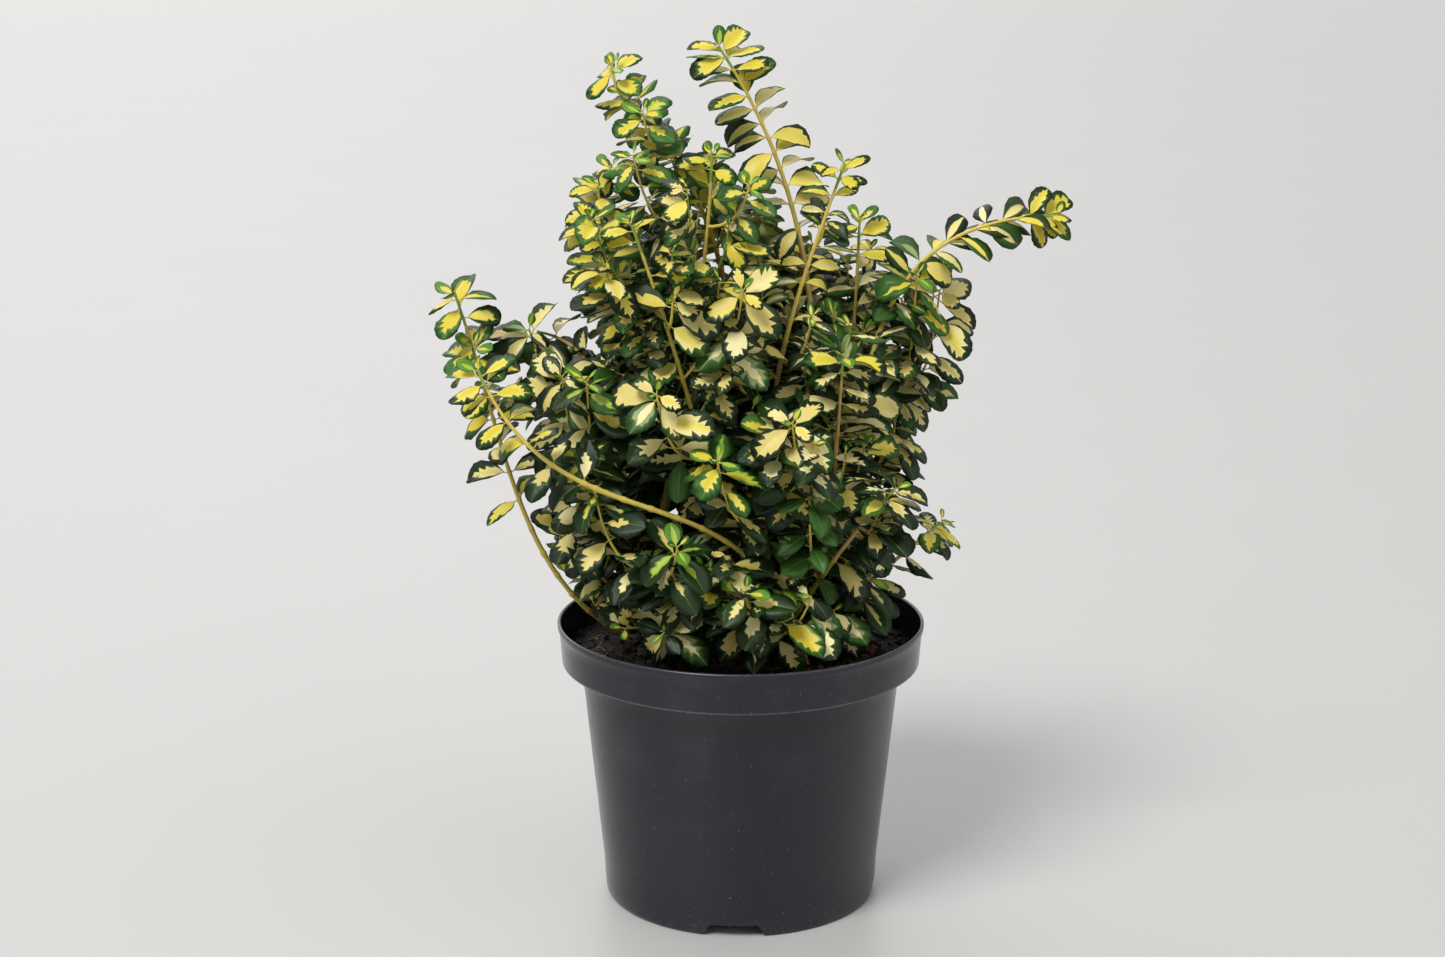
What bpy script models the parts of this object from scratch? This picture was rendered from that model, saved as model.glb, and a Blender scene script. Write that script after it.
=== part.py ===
"""A variegated wintercreeper euonymus in a round nursery pot, as separate closed solids.

Metres, +Z up, seen in the photograph from the -Y side. The origin is the centre of the pot's
flat underside. Four short woody stems stand in the soil. Each shoot is one cubic curve: its bare
lower stretch is a bough, and the rest is the leader of a mass of foliage that branches in
opposite pairs by a seeded rule.
"""

import math
import random
from collections import namedtuple

import bmesh
import bpy
from mathutils import Matrix, Vector
from mathutils.geometry import interpolate_bezier
from mathutils.kdtree import KDTree

# Clearance between solids that touch on the real plant
GAP = 0.0003

# Pot: a five-litre nursery pot with a deep rim band
POT_HEIGHT = 0.175
RIM_RADIUS = 0.113
BAND_HEIGHT = 0.0255
BAND_FOOT_RADIUS = 0.1105
BODY_TOP_RADIUS = 0.0985
BASE_RADIUS = 0.0846
WALL = 0.0017
FOOT_RING_INNER = 0.0745
PAD_RADIUS = 0.048
CHANNEL_HEIGHT = 0.007
FLOOR_TOP = 0.0095
NOTCH_COUNT = 4
NOTCH_WIDTH = 0.036
NOTCH_TOP_WIDTH = 0.032
NOTCH_HEIGHT = 0.0065
NOTCH_TURN = math.radians(-3)
NOTCH_OVERREACH = 0.008
TURN_STEPS = 36

# The pot's mouldings: the rounded lip, the bead below it, the ledge inside, and rounded edges
LIP_ROUND = 0.0012
LIP_CREASE = 0.0004
BEAD_HEIGHT = 0.006
BEAD_FLAT = 0.004
BEAD_PROUD = 0.0010
LEDGE_RISE = 0.0008
BAND_EDGE = 0.0015
SHOULDER = 0.0012
SHOULDER_DROP = 0.0020
HEEL_HEIGHT = 0.004
HEEL_ROUND = 0.0018
PAD_SLOPE = 0.0015

# Soil: level with the middle of the rim band, a little lower at the wall
SOIL_TOP = 0.157
SOIL_LEVEL_RADIUS = 0.085
SOIL_EDGE_DROP = 0.0015

# Woody stems: flared foot, plain taper
STEM_POINTS = 7
STEM_CROWDING = 1.6
STEM_SAMPLES = 17
STEM_TIP_SHARE = 0.84
FLARE = 0.55
FLARE_LENGTH = 0.010
BURIED = 0.008

# Boughs, from the foot to where the foliage begins
CURVE_STEPS = 200
JOINT_REACH = 0.004
BOUGH_POINTS = 6
BOUGH_FOOT_RADIUS = 0.0027
BOUGH_TIP_RADIUS = 0.0021
BOUGH_TAPER = 0.7
TIP_BOUGH_SHARE = 0.9
SOIL_FOOT_SWELL = (1.375, 1.25)

# Foliage
LEADER_POINTS = 5
LEADER_FOOT_RADIUS = 0.0023
LEADER_TIP_RADIUS = 0.0016
TWIG_FOOT_RADIUS = 0.0017
TWIG_TIP_SHARE = 0.7
NODE_SPACING = 0.028
FEWEST_NODES = 4
FIRST_NODE = 0.006
LAST_NODE_INSET = 0.001
AXIS_REACH = 0.004
SLENDER_NODE_SPACING = 0.021
SLENDER_GIRTH = 0.014
SEED = 17

# Side twigs: how far they lean from the leader, how the mass swells and narrows along it, the
# shortest twig, the length from which one bears a pair on the way, and the shares of a twig that
# must lie in the mass's own space
TWIG_AHEAD = 0.55
TWIG_ASIDE = 0.85
TWIG_RISE = 0.12
SWELL_START = 0.22
SWELL_SPAN = 0.68
SWELL_FULLNESS = 0.7
SHORTEST_TWIG = 0.011
PAIRED_TWIG = 0.020
MIDWAY = 0.5
TWIG_SAMPLES = (0.35, 0.6, 0.8, 1.0)
TWIG_OVERLAP = 0.001
END_PAIR_INSET = 0.002
TIP_PAIR_INSET = 0.0045

# Pairs of leaves: the angle of each kind from its axis, and its size
OPEN_ANGLE = 1.15
END_ANGLE = 0.85
TIP_ANGLE = 0.75
TWIG_LEAF_SIZE = 0.95
LEADER_LEAF_SIZE = 0.92
SLENDER_LEAF_SIZE = 0.80
PAIR_STAGGER = 0.0012

# Leaves
LEAF_LENGTH = 0.039
LEAF_WIDTH = 0.024
LEAF_THICKNESS = 0.0016
LEAF_BELLY = 0.52
LEAF_SUNK = 0.0005
LEAF_ROWS = (0.22, 0.37, LEAF_BELLY, 0.68, 0.84, 1.0)
LEAF_ACROSS = (-0.5, 0.0, 0.5)
LEAF_BETWEEN = (-0.25, 0.25)
ROOT_SAMPLES = 6
FACE_OUTWARD = 0.70
FACE_FRONT = 0.25
FACE_STRENGTH = 0.85
FACE_LEAN = 0.3
LEAF_TRIES = (1.0, 0.95, 0.88, 0.80, 0.72)
LEAF_APART = 0.0055

# The reference for a limb's upper side, a little askew so that no shoot runs along it
ASKEW_UP = Vector((0.13, 0.07, 1.0))

# Room kept between masses, round limbs, and over soil and rim
SPACE_MARGIN = 0.0034
LIMB_MARGIN = 0.0022
SOIL_MARGIN = 0.004
RIM_MARGIN = 0.004
SAMPLE_STEP = 0.004
WELD = 0.00001

Stem = namedtuple("Stem", "foot top radius")
Shoot = namedtuple("Shoot", "name start leave arrive tip bare girth")

STEMS = {
    "left_stem": Stem((-0.044, -0.006), (-0.050, -0.002, 0.224), 0.0043),
    "back_stem": Stem((0.004, 0.036), (0.002, 0.044, 0.234), 0.0046),
    "right_stem": Stem((0.038, -0.002), (0.046, 0.003, 0.228), 0.0045),
    "front_stem": Stem((0.000, -0.030), (-0.004, -0.037, 0.210), 0.0038),
}

# Each shoot: where it starts (a stem and the share of its height, or a place in the soil), the
# vectors by which its curve leaves the start and reaches the tip, the tip, the share of it that
# is a bare bough, and how far its side twigs reach.
SHOOTS = [
    Shoot("top_left", ("back_stem", 1.0), (-0.005, -0.020, 0.102), (-0.076, -0.009, 0.071),
          (-0.075, -0.010, 0.508), 0.60, 0.026),
    Shoot("upper_back", ("back_stem", 0.72), (0.020, 0.030, 0.040), (-0.015, 0.0, 0.080),
          (0.020, 0.064, 0.408), 0.36, 0.055),
    Shoot("back_right", ("back_stem", 0.50), (0.045, 0.030, 0.025), (0.010, 0.015, 0.060),
          (0.076, 0.084, 0.360), 0.36, 0.058),
    Shoot("back_left", ("back_stem", 0.60), (-0.045, 0.030, 0.025), (-0.010, 0.015, 0.070),
          (-0.066, 0.080, 0.375), 0.36, 0.058),
    Shoot("low_back", ("back_stem", 0.28), (-0.005, 0.045, 0.015), (0.0, 0.022, 0.050),
          (0.006, 0.114, 0.275), 0.36, 0.052),
    Shoot("upper_front", ("left_stem", 1.0), (0.012, -0.010, 0.080), (0.002, -0.003, 0.085),
          (-0.017, -0.042, 0.470), 0.50, 0.042),
    Shoot("upper_left", ("left_stem", 0.72), (-0.032, 0.026, 0.065), (-0.032, -0.020, 0.070),
          (-0.086, -0.016, 0.441), 0.48, 0.040),
    Shoot("mid_left", ("left_stem", 0.58), (-0.044, 0.004, 0.064), (-0.066, 0.0, 0.004),
          (-0.129, 0.004, 0.354), 0.46, 0.032),
    Shoot("lower_left", ("left_stem", 0.42), (-0.036, 0.032, 0.046), (-0.070, -0.005, -0.016),
          (-0.154, 0.024, 0.310), 0.46, 0.032),
    Shoot("low_left", ("left_stem", 0.26), (-0.030, -0.020, 0.020), (-0.030, -0.010, 0.025),
          (-0.110, -0.044, 0.236), 0.36, 0.044),
    Shoot("top_centre", ("right_stem", 1.0), (0.002, 0.034, 0.105), (-0.049, -0.001, 0.093),
          (-0.011, 0.0, 0.520), 0.60, 0.004),
    Shoot("upper_right", ("right_stem", 0.62), (-0.050, -0.030, 0.082), (0.034, 0.011, 0.092),
          (0.062, -0.022, 0.463), 0.58, 0.008),
    Shoot("right_crown", ("right_stem", 0.74), (0.022, 0.032, 0.050), (0.002, 0.003, 0.070),
          (0.072, 0.028, 0.424), 0.36, 0.032),
    Shoot("right_side", ("right_stem", 0.42), (0.034, 0.030, 0.030), (0.015, 0.008, 0.050),
          (0.096, 0.044, 0.308), 0.36, 0.048),
    Shoot("mid_right", ("right_stem", 0.52), (0.014, -0.028, 0.036), (0.003, -0.020, 0.060),
          (0.058, -0.074, 0.358), 0.36, 0.050),
    Shoot("low_right", ("right_stem", 0.22), (0.034, 0.002, 0.018), (0.029, -0.001, 0.026),
          (0.127, 0.006, 0.238), 0.46, 0.016),
    Shoot("front_crown", ("front_stem", 1.0), (-0.016, -0.016, 0.076), (-0.027, -0.009, 0.076),
          (-0.064, -0.084, 0.435), 0.46, 0.040),
    Shoot("mid_front", ("front_stem", 0.66), (0.024, -0.022, 0.046), (0.008, -0.030, 0.040),
          (0.022, -0.104, 0.322), 0.44, 0.050),
    Shoot("low_front", ("front_stem", 0.28), (0.006, -0.026, 0.010), (0.004, -0.020, 0.025),
          (0.010, -0.102, 0.220), 0.36, 0.036),
    Shoot("low_front_left", ("front_stem", 0.45), (-0.030, -0.018, 0.010), (-0.005, -0.018, 0.030),
          (-0.052, -0.082, 0.230), 0.36, 0.036),
    Shoot("left_arch", ("soil", -0.068, 0.014), (-0.068, -0.064, 0.054), (-0.031, 0.005, 0.088),
          (-0.171, -0.020, 0.375), 0.42, 0.006),
    Shoot("front_arch", ("soil", 0.040, -0.038), (-0.036, -0.050, 0.150), (-0.049, 0.039, 0.114),
          (-0.152, -0.083, 0.352), 0.68, 0.006),
    Shoot("right_arm", ("soil", 0.066, -0.006), (0.0, -0.004, 0.190), (0.118, 0.0, 0.000),
          (0.193, -0.006, 0.425), 0.58, 0.012),
    Shoot("right_arch", ("soil", 0.018, -0.010), (0.021, -0.029, 0.040), (0.033, -0.018, 0.038),
          (0.092, -0.077, 0.279), 0.56, 0.020),
]


def clear_scene():
    for obj in list(bpy.data.objects):
        bpy.data.objects.remove(obj, do_unlink=True)


def new_collection(name):
    collection = bpy.data.collections.new(name)
    bpy.context.scene.collection.children.link(collection)
    return collection


def principled(name, color, roughness):
    material = bpy.data.materials.new(name)
    material.use_nodes = True
    shader = material.node_tree.nodes["Principled BSDF"]
    shader.inputs["Base Color"].default_value = (*color, 1.0)
    shader.inputs["Roughness"].default_value = roughness
    return material


def add_object(name, mesh, collection, material=None):
    obj = bpy.data.objects.new(name, mesh)
    collection.objects.link(obj)
    if material:
        mesh.materials.clear()
        mesh.materials.append(material)
    return obj


def evaluated_mesh(obj):
    """A new mesh of an object with its modifiers applied."""
    graph = bpy.context.evaluated_depsgraph_get()
    graph.update()
    return bpy.data.meshes.new_from_object(obj.evaluated_get(graph))


def bake(obj, collection, material):
    """Replaces an object by its evaluated mesh under the same name."""
    name = obj.name
    matrix = obj.matrix_world.copy()
    mesh = evaluated_mesh(obj)
    bpy.data.objects.remove(obj, do_unlink=True)
    solid = add_object(name, mesh, collection, material)
    solid.matrix_world = matrix
    return solid


def boolean(obj, operation, operand, solver="EXACT"):
    modifier = obj.modifiers.new(operation.lower(), "BOOLEAN")
    modifier.operation = operation
    modifier.solver = solver
    if isinstance(operand, bpy.types.Collection):
        modifier.operand_type = "COLLECTION"
        modifier.collection = operand
    else:
        modifier.object = operand
    return modifier


def turned(name, profile, collection, material):
    """A profile of (radius, height) pairs that starts and ends on the axis, turned about Z."""
    mesh = bpy.data.meshes.new(name)
    mesh.from_pydata([(r, 0.0, z) for r, z in profile], [(i, i + 1) for i in range(len(profile) - 1)], [])
    obj = add_object(name, mesh, collection, material)
    screw = obj.modifiers.new("turn", "SCREW")
    screw.steps = TURN_STEPS
    screw.render_steps = TURN_STEPS
    screw.use_merge_vertices = True
    screw.merge_threshold = WELD
    screw.use_smooth_shade = True
    return obj


def notch_cutter(number, cutters):
    """One drain notch: a box with a narrower top that crosses the foot ring."""
    bm = bmesh.new()
    bmesh.ops.create_cube(bm, size=1.0)
    for vert in bm.verts:
        width = NOTCH_TOP_WIDTH if vert.co.z > 0 else NOTCH_WIDTH
        vert.co.x *= width
        vert.co.y *= BASE_RADIUS - FOOT_RING_INNER + NOTCH_OVERREACH
        vert.co.z *= 2 * NOTCH_HEIGHT
    mesh = bpy.data.meshes.new("notch")
    bm.to_mesh(mesh)
    bm.free()
    cutter = add_object(f"notch_{number}", mesh, cutters)
    turn = NOTCH_TURN + number * math.tau / NOTCH_COUNT
    reach = (BASE_RADIUS + FOOT_RING_INNER) / 2
    cutter.matrix_world = Matrix.Rotation(turn, 4, "Z") @ Matrix.Translation((0.0, -reach, 0.0))
    cutter.hide_render = True
    cutter.display_type = "WIRE"
    return cutter


def build_pot(parts, cutters):
    plastic = principled("pot_plastic", (0.030, 0.030, 0.034), 0.32)
    band_foot = POT_HEIGHT - BAND_HEIGHT
    inside = [
        (0.0, FLOOR_TOP),
        (BASE_RADIUS - WALL, FLOOR_TOP),
        (BODY_TOP_RADIUS - WALL, band_foot + WALL),
        (BAND_FOOT_RADIUS - WALL, band_foot + WALL + LEDGE_RISE),
        (RIM_RADIUS - BEAD_PROUD - WALL, POT_HEIGHT - BEAD_HEIGHT),
        (RIM_RADIUS - LIP_CREASE - WALL, POT_HEIGHT - LIP_ROUND),
        (RIM_RADIUS + LIP_CREASE - WALL, POT_HEIGHT),
    ]
    band = [
        (RIM_RADIUS - LIP_CREASE, POT_HEIGHT),
        (RIM_RADIUS, POT_HEIGHT - LIP_ROUND),
        (RIM_RADIUS, POT_HEIGHT - BEAD_FLAT),
        (RIM_RADIUS - BEAD_PROUD, POT_HEIGHT - BEAD_HEIGHT),
        (BAND_FOOT_RADIUS, band_foot + BAND_EDGE),
        (BAND_FOOT_RADIUS - BAND_EDGE / 2, band_foot),
    ]
    body = [
        (BODY_TOP_RADIUS + SHOULDER, band_foot - SHOULDER_DROP / 4),
        (BODY_TOP_RADIUS, band_foot - SHOULDER_DROP),
        (BASE_RADIUS, HEEL_HEIGHT),
        (BASE_RADIUS - HEEL_ROUND / 3, HEEL_ROUND / 2),
        (BASE_RADIUS - HEEL_ROUND, 0.0),
    ]
    underside = [
        (FOOT_RING_INNER, 0.0),
        (FOOT_RING_INNER - PAD_SLOPE, CHANNEL_HEIGHT),
        (PAD_RADIUS + PAD_SLOPE, CHANNEL_HEIGHT),
        (PAD_RADIUS, 0.0),
        (0.0, 0.0),
    ]
    profile = inside + band + body + underside
    pot = turned("nursery_pot", profile, parts, plastic)
    for number in range(NOTCH_COUNT):
        boolean(pot, "DIFFERENCE", notch_cutter(number, cutters))
    return pot


def build_soil(parts):
    """The soil fills the pot to SOIL_TOP, a clearance inside its floor, wall and band."""
    earth = principled("potting_soil", (0.030, 0.021, 0.016), 0.95)
    ledge = POT_HEIGHT - BAND_HEIGHT + WALL + LEDGE_RISE + GAP
    edge = SOIL_TOP - SOIL_EDGE_DROP
    profile = [
        (0.0, SOIL_TOP),
        (SOIL_LEVEL_RADIUS, SOIL_TOP),
        (BAND_FOOT_RADIUS - WALL - GAP, edge),
        (BAND_FOOT_RADIUS - WALL - GAP, ledge),
        (BODY_TOP_RADIUS - WALL - 2 * GAP, ledge),
        (BASE_RADIUS - WALL - 2 * GAP, FLOOR_TOP + GAP),
        (0.0, FLOOR_TOP + GAP),
    ]
    return turned("soil", profile, parts, earth)


def stem_point(stem, share):
    foot = Vector((*stem.foot, SOIL_TOP))
    return foot.lerp(Vector(stem.top), share)


def shoot_curve(shoot):
    """Points of a shoot's whole cubic curve, from its start to its tip."""
    if shoot.start[0] == "soil":
        start = Vector((shoot.start[1], shoot.start[2], SOIL_TOP))
    else:
        start = stem_point(STEMS[shoot.start[0]], shoot.start[1])
    tip = Vector(shoot.tip)
    leave = start + Vector(shoot.leave)
    arrive = tip - Vector(shoot.arrive)
    return interpolate_bezier(start, leave, arrive, tip, CURVE_STEPS)


def arc_lengths(points):
    lengths = [0.0]
    for a, b in zip(points, points[1:]):
        lengths.append(lengths[-1] + (b - a).length)
    return lengths


def point_at(points, lengths, reach):
    """The point of a polyline at an arc length."""
    k = 1
    while k < len(points) - 1 and lengths[k] < reach:
        k += 1
    share = (reach - lengths[k - 1]) / (lengths[k] - lengths[k - 1])
    return points[k - 1].lerp(points[k], share)


def stretch(points, start, end, count):
    """Evenly spaced points of a fine polyline between two arc lengths."""
    lengths = arc_lengths(points)
    return [point_at(points, lengths, start + (end - start) * i / (count - 1)) for i in range(count)]


def tube(name, points, radii, collection, material, profile=None):
    """A tapering tube along points, as a curve made mesh with its caps welded."""
    curve = bpy.data.curves.new(name, "CURVE")
    curve.dimensions = "3D"
    curve.use_fill_caps = True
    if profile:
        curve.bevel_mode = "OBJECT"
        curve.bevel_object = profile
    else:
        curve.bevel_depth = 1.0
        curve.bevel_resolution = 2
    spline = curve.splines.new("POLY")
    spline.points.add(len(points) - 1)
    for knot, point, radius in zip(spline.points, points, radii):
        knot.co = (*point, 1.0)
        knot.radius = radius
    draft = add_object(name, curve, collection)
    mesh = evaluated_mesh(draft)
    bpy.data.objects.remove(draft, do_unlink=True)
    bm = bmesh.new()
    bm.from_mesh(mesh)
    bmesh.ops.remove_doubles(bm, verts=bm.verts, dist=WELD)
    bmesh.ops.recalc_face_normals(bm, faces=bm.faces)
    bm.to_mesh(mesh)
    bm.free()
    mesh.shade_smooth()
    return add_object(name, mesh, collection, material)


def cut_at_soil(obj):
    """Ends a tube that starts in the soil with a level cut, a clearance above it."""
    bm = bmesh.new()
    bm.from_mesh(obj.data)
    level = (0.0, 0.0, SOIL_TOP + GAP)
    geometry = bm.verts[:] + bm.edges[:] + bm.faces[:]
    bmesh.ops.bisect_plane(bm, geom=geometry, plane_co=level, plane_no=(0.0, 0.0, 1.0), clear_inner=True)
    rim = [edge for edge in bm.edges if edge.is_boundary]
    bmesh.ops.holes_fill(bm, edges=rim)
    bmesh.ops.recalc_face_normals(bm, faces=bm.faces)
    bm.to_mesh(obj.data)
    bm.free()


def stem_tube(name, stem, swell, collection, material):
    """A woody stem from below the soil to its tip; swell widens it for use as a cutter."""
    foot = stem_point(stem, 0.0)
    top = Vector(stem.top)
    height = (top - foot).length
    away = (foot - top).normalized()
    points, radii = [], []
    for i in range(STEM_POINTS):
        share = (i / (STEM_POINTS - 1)) ** STEM_CROWDING
        reach = -BURIED + share * (height + BURIED)
        points.append(foot - away * reach)
        plain = stem.radius * (1.0 - (1.0 - STEM_TIP_SHARE) * share)
        radii.append(plain * (1.0 + FLARE * math.exp(-max(reach, 0.0) / FLARE_LENGTH)) + swell)
    if swell:
        points[-1] = points[-1] - away * swell
    return tube(name, points, radii, collection, material)


def build_stems(parts, bark):
    for name, stem in STEMS.items():
        cut_at_soil(stem_tube(name, stem, 0.0, parts, bark))


def split_length(shoot, fine):
    return arc_lengths(fine)[-1] * shoot.bare


def build_bough(shoot, parts, cutters, bark):
    """The bare stretch of a shoot, ended at its stem, or at the soil, a clearance away."""
    fine = shoot_curve(shoot)
    end = split_length(shoot, fine)
    name = f"{shoot.name}_bough"
    from_soil = shoot.start[0] == "soil"
    tip_bough = not from_soil and shoot.start[1] == 1.0
    points = stretch(fine, GAP if tip_bough else 0.0, end - JOINT_REACH, BOUGH_POINTS - 1)
    points.append(point_at(fine, arc_lengths(fine), end))
    foot_radius = BOUGH_FOOT_RADIUS
    if tip_bough:
        foot_radius = STEMS[shoot.start[0]].radius * STEM_TIP_SHARE * TIP_BOUGH_SHARE
    shares = [i / (BOUGH_POINTS - 1) for i in range(BOUGH_POINTS)]
    radii = [foot_radius + (BOUGH_TIP_RADIUS - foot_radius) * share ** BOUGH_TAPER for share in shares]
    if from_soil:
        below = (points[0] - points[1]).normalized() * 2 * BURIED
        points.insert(0, points[0] + below)
        radii[:1] = [radii[0] * swell for swell in SOIL_FOOT_SWELL]
    bough = tube(name, points, radii, parts, bark)
    if from_soil:
        cut_at_soil(bough)
        return bough
    cutter = stem_tube(f"{name}_seat", STEMS[shoot.start[0]], GAP, cutters, None)
    boolean(bough, "DIFFERENCE", cutter)
    solid = bake(bough, parts, bark)
    bpy.data.objects.remove(cutter, do_unlink=True)
    return solid


def leaf_mesh():
    """An eight-faced leaf of unit length, width and thickness: root at 0, tip at +X, top at +Z."""
    bm = bmesh.new()
    bmesh.ops.create_uvsphere(bm, u_segments=4, v_segments=2, radius=1.0)
    for vert in bm.verts:
        x, y, z = vert.co
        at_end = abs(z) > 0.5
        vert.co = Vector(((1.0 + z) / 2 if at_end else LEAF_BELLY, x / 2, y / 2))
    bmesh.ops.recalc_face_normals(bm, faces=bm.faces)
    mesh = bpy.data.meshes.new("leaf")
    bm.to_mesh(mesh)
    bm.free()
    return mesh


def twig_mesh():
    """A three-sided tapering twig of unit length along +X and unit radius."""
    bm = bmesh.new()
    bmesh.ops.create_cone(bm, cap_ends=True, segments=3, radius1=1.0, radius2=TWIG_TIP_SHARE, depth=1.0)
    bmesh.ops.translate(bm, verts=bm.verts, vec=(0.0, 0.0, 0.5))
    bmesh.ops.rotate(bm, verts=bm.verts, cent=(0, 0, 0), matrix=Matrix.Rotation(math.pi / 2, 3, "Y"))
    mesh = bpy.data.meshes.new("twig")
    bm.to_mesh(mesh)
    bm.free()
    return mesh


def triangle_profile(cutters):
    """The three-sided outline that a leader is swept with."""
    curve = bpy.data.curves.new("twig_outline", "CURVE")
    curve.dimensions = "2D"
    spline = curve.splines.new("POLY")
    spline.points.add(2)
    for i, knot in enumerate(spline.points):
        turn = i * math.tau / 3
        knot.co = (math.cos(turn), math.sin(turn), 0.0, 1.0)
    spline.use_cyclic_u = True
    return add_object("twig_outline", curve, cutters)


class Crown:
    """Where every leader and limb runs, to keep each mass to its own space."""

    def __init__(self):
        self.leaders = {}
        self.others = {}
        samples = {}
        limbs = []
        for shoot in SHOOTS:
            fine = shoot_curve(shoot)
            lengths = arc_lengths(fine)
            split = split_length(shoot, fine)
            bare = stretch(fine, 0.0, split, max(2, round(split / SAMPLE_STEP)))
            limbs += [(point, BOUGH_FOOT_RADIUS) for point in bare]
            rest = lengths[-1] - split
            samples[shoot.name] = stretch(fine, split, lengths[-1], max(2, round(rest / SAMPLE_STEP)))
        for stem in STEMS.values():
            shares = [i / (STEM_SAMPLES - 1) for i in range(STEM_SAMPLES)]
            limbs += [(stem_point(stem, share), stem.radius) for share in shares]
        self.limb_radii = [radius for _, radius in limbs]
        self.limbs = self.tree([point for point, _ in limbs])
        for name, own in samples.items():
            self.leaders[name] = self.tree(own)
            self.others[name] = self.tree([p for other, ps in samples.items() if other != name for p in ps])

    @staticmethod
    def tree(points):
        tree = KDTree(len(points))
        for i, point in enumerate(points):
            tree.insert(point, i)
        tree.balance()
        return tree

    def allows(self, name, points):
        """Whether all points lie in a mass's own space, clear of limbs, soil and rim."""
        for point in points:
            own = self.leaders[name].find(point)[2]
            if self.others[name].find(point)[2] - own < SPACE_MARGIN:
                return False
            _, index, distance = self.limbs.find(point)
            if distance < self.limb_radii[index] + LIMB_MARGIN:
                return False
            over_soil = math.hypot(point.x, point.y) < BODY_TOP_RADIUS - RIM_MARGIN
            floor = SOIL_TOP if over_soil else POT_HEIGHT
            if point.z < floor + SOIL_MARGIN:
                return False
        return True


def frame_on(direction, up):
    """Axes with X along direction and Z as near to up as it can be."""
    x = direction.normalized()
    y = up.cross(x).normalized()
    return x, y, x.cross(y)


def placed(mesh, name, origin, axes, sizes, crew):
    """Links a scaled copy of a unit mesh into the collection that will be joined."""
    obj = bpy.data.objects.new(name, mesh)
    columns = [axis * size for axis, size in zip(axes, sizes)]
    rotation = Matrix((columns[0], columns[1], columns[2])).transposed().to_4x4()
    obj.matrix_world = Matrix.Translation(origin) @ rotation
    crew.objects.link(obj)


def leaf_points(root, length, width, across):
    """Sample points of a leaf's blade, in rows from near its root to its tip."""
    points = []
    for along in LEAF_ROWS:
        share = min(along / LEAF_BELLY, (1.0 - along) / (1.0 - LEAF_BELLY))
        points += [root + length * along + width * share * side for side in across]
    return points


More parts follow.
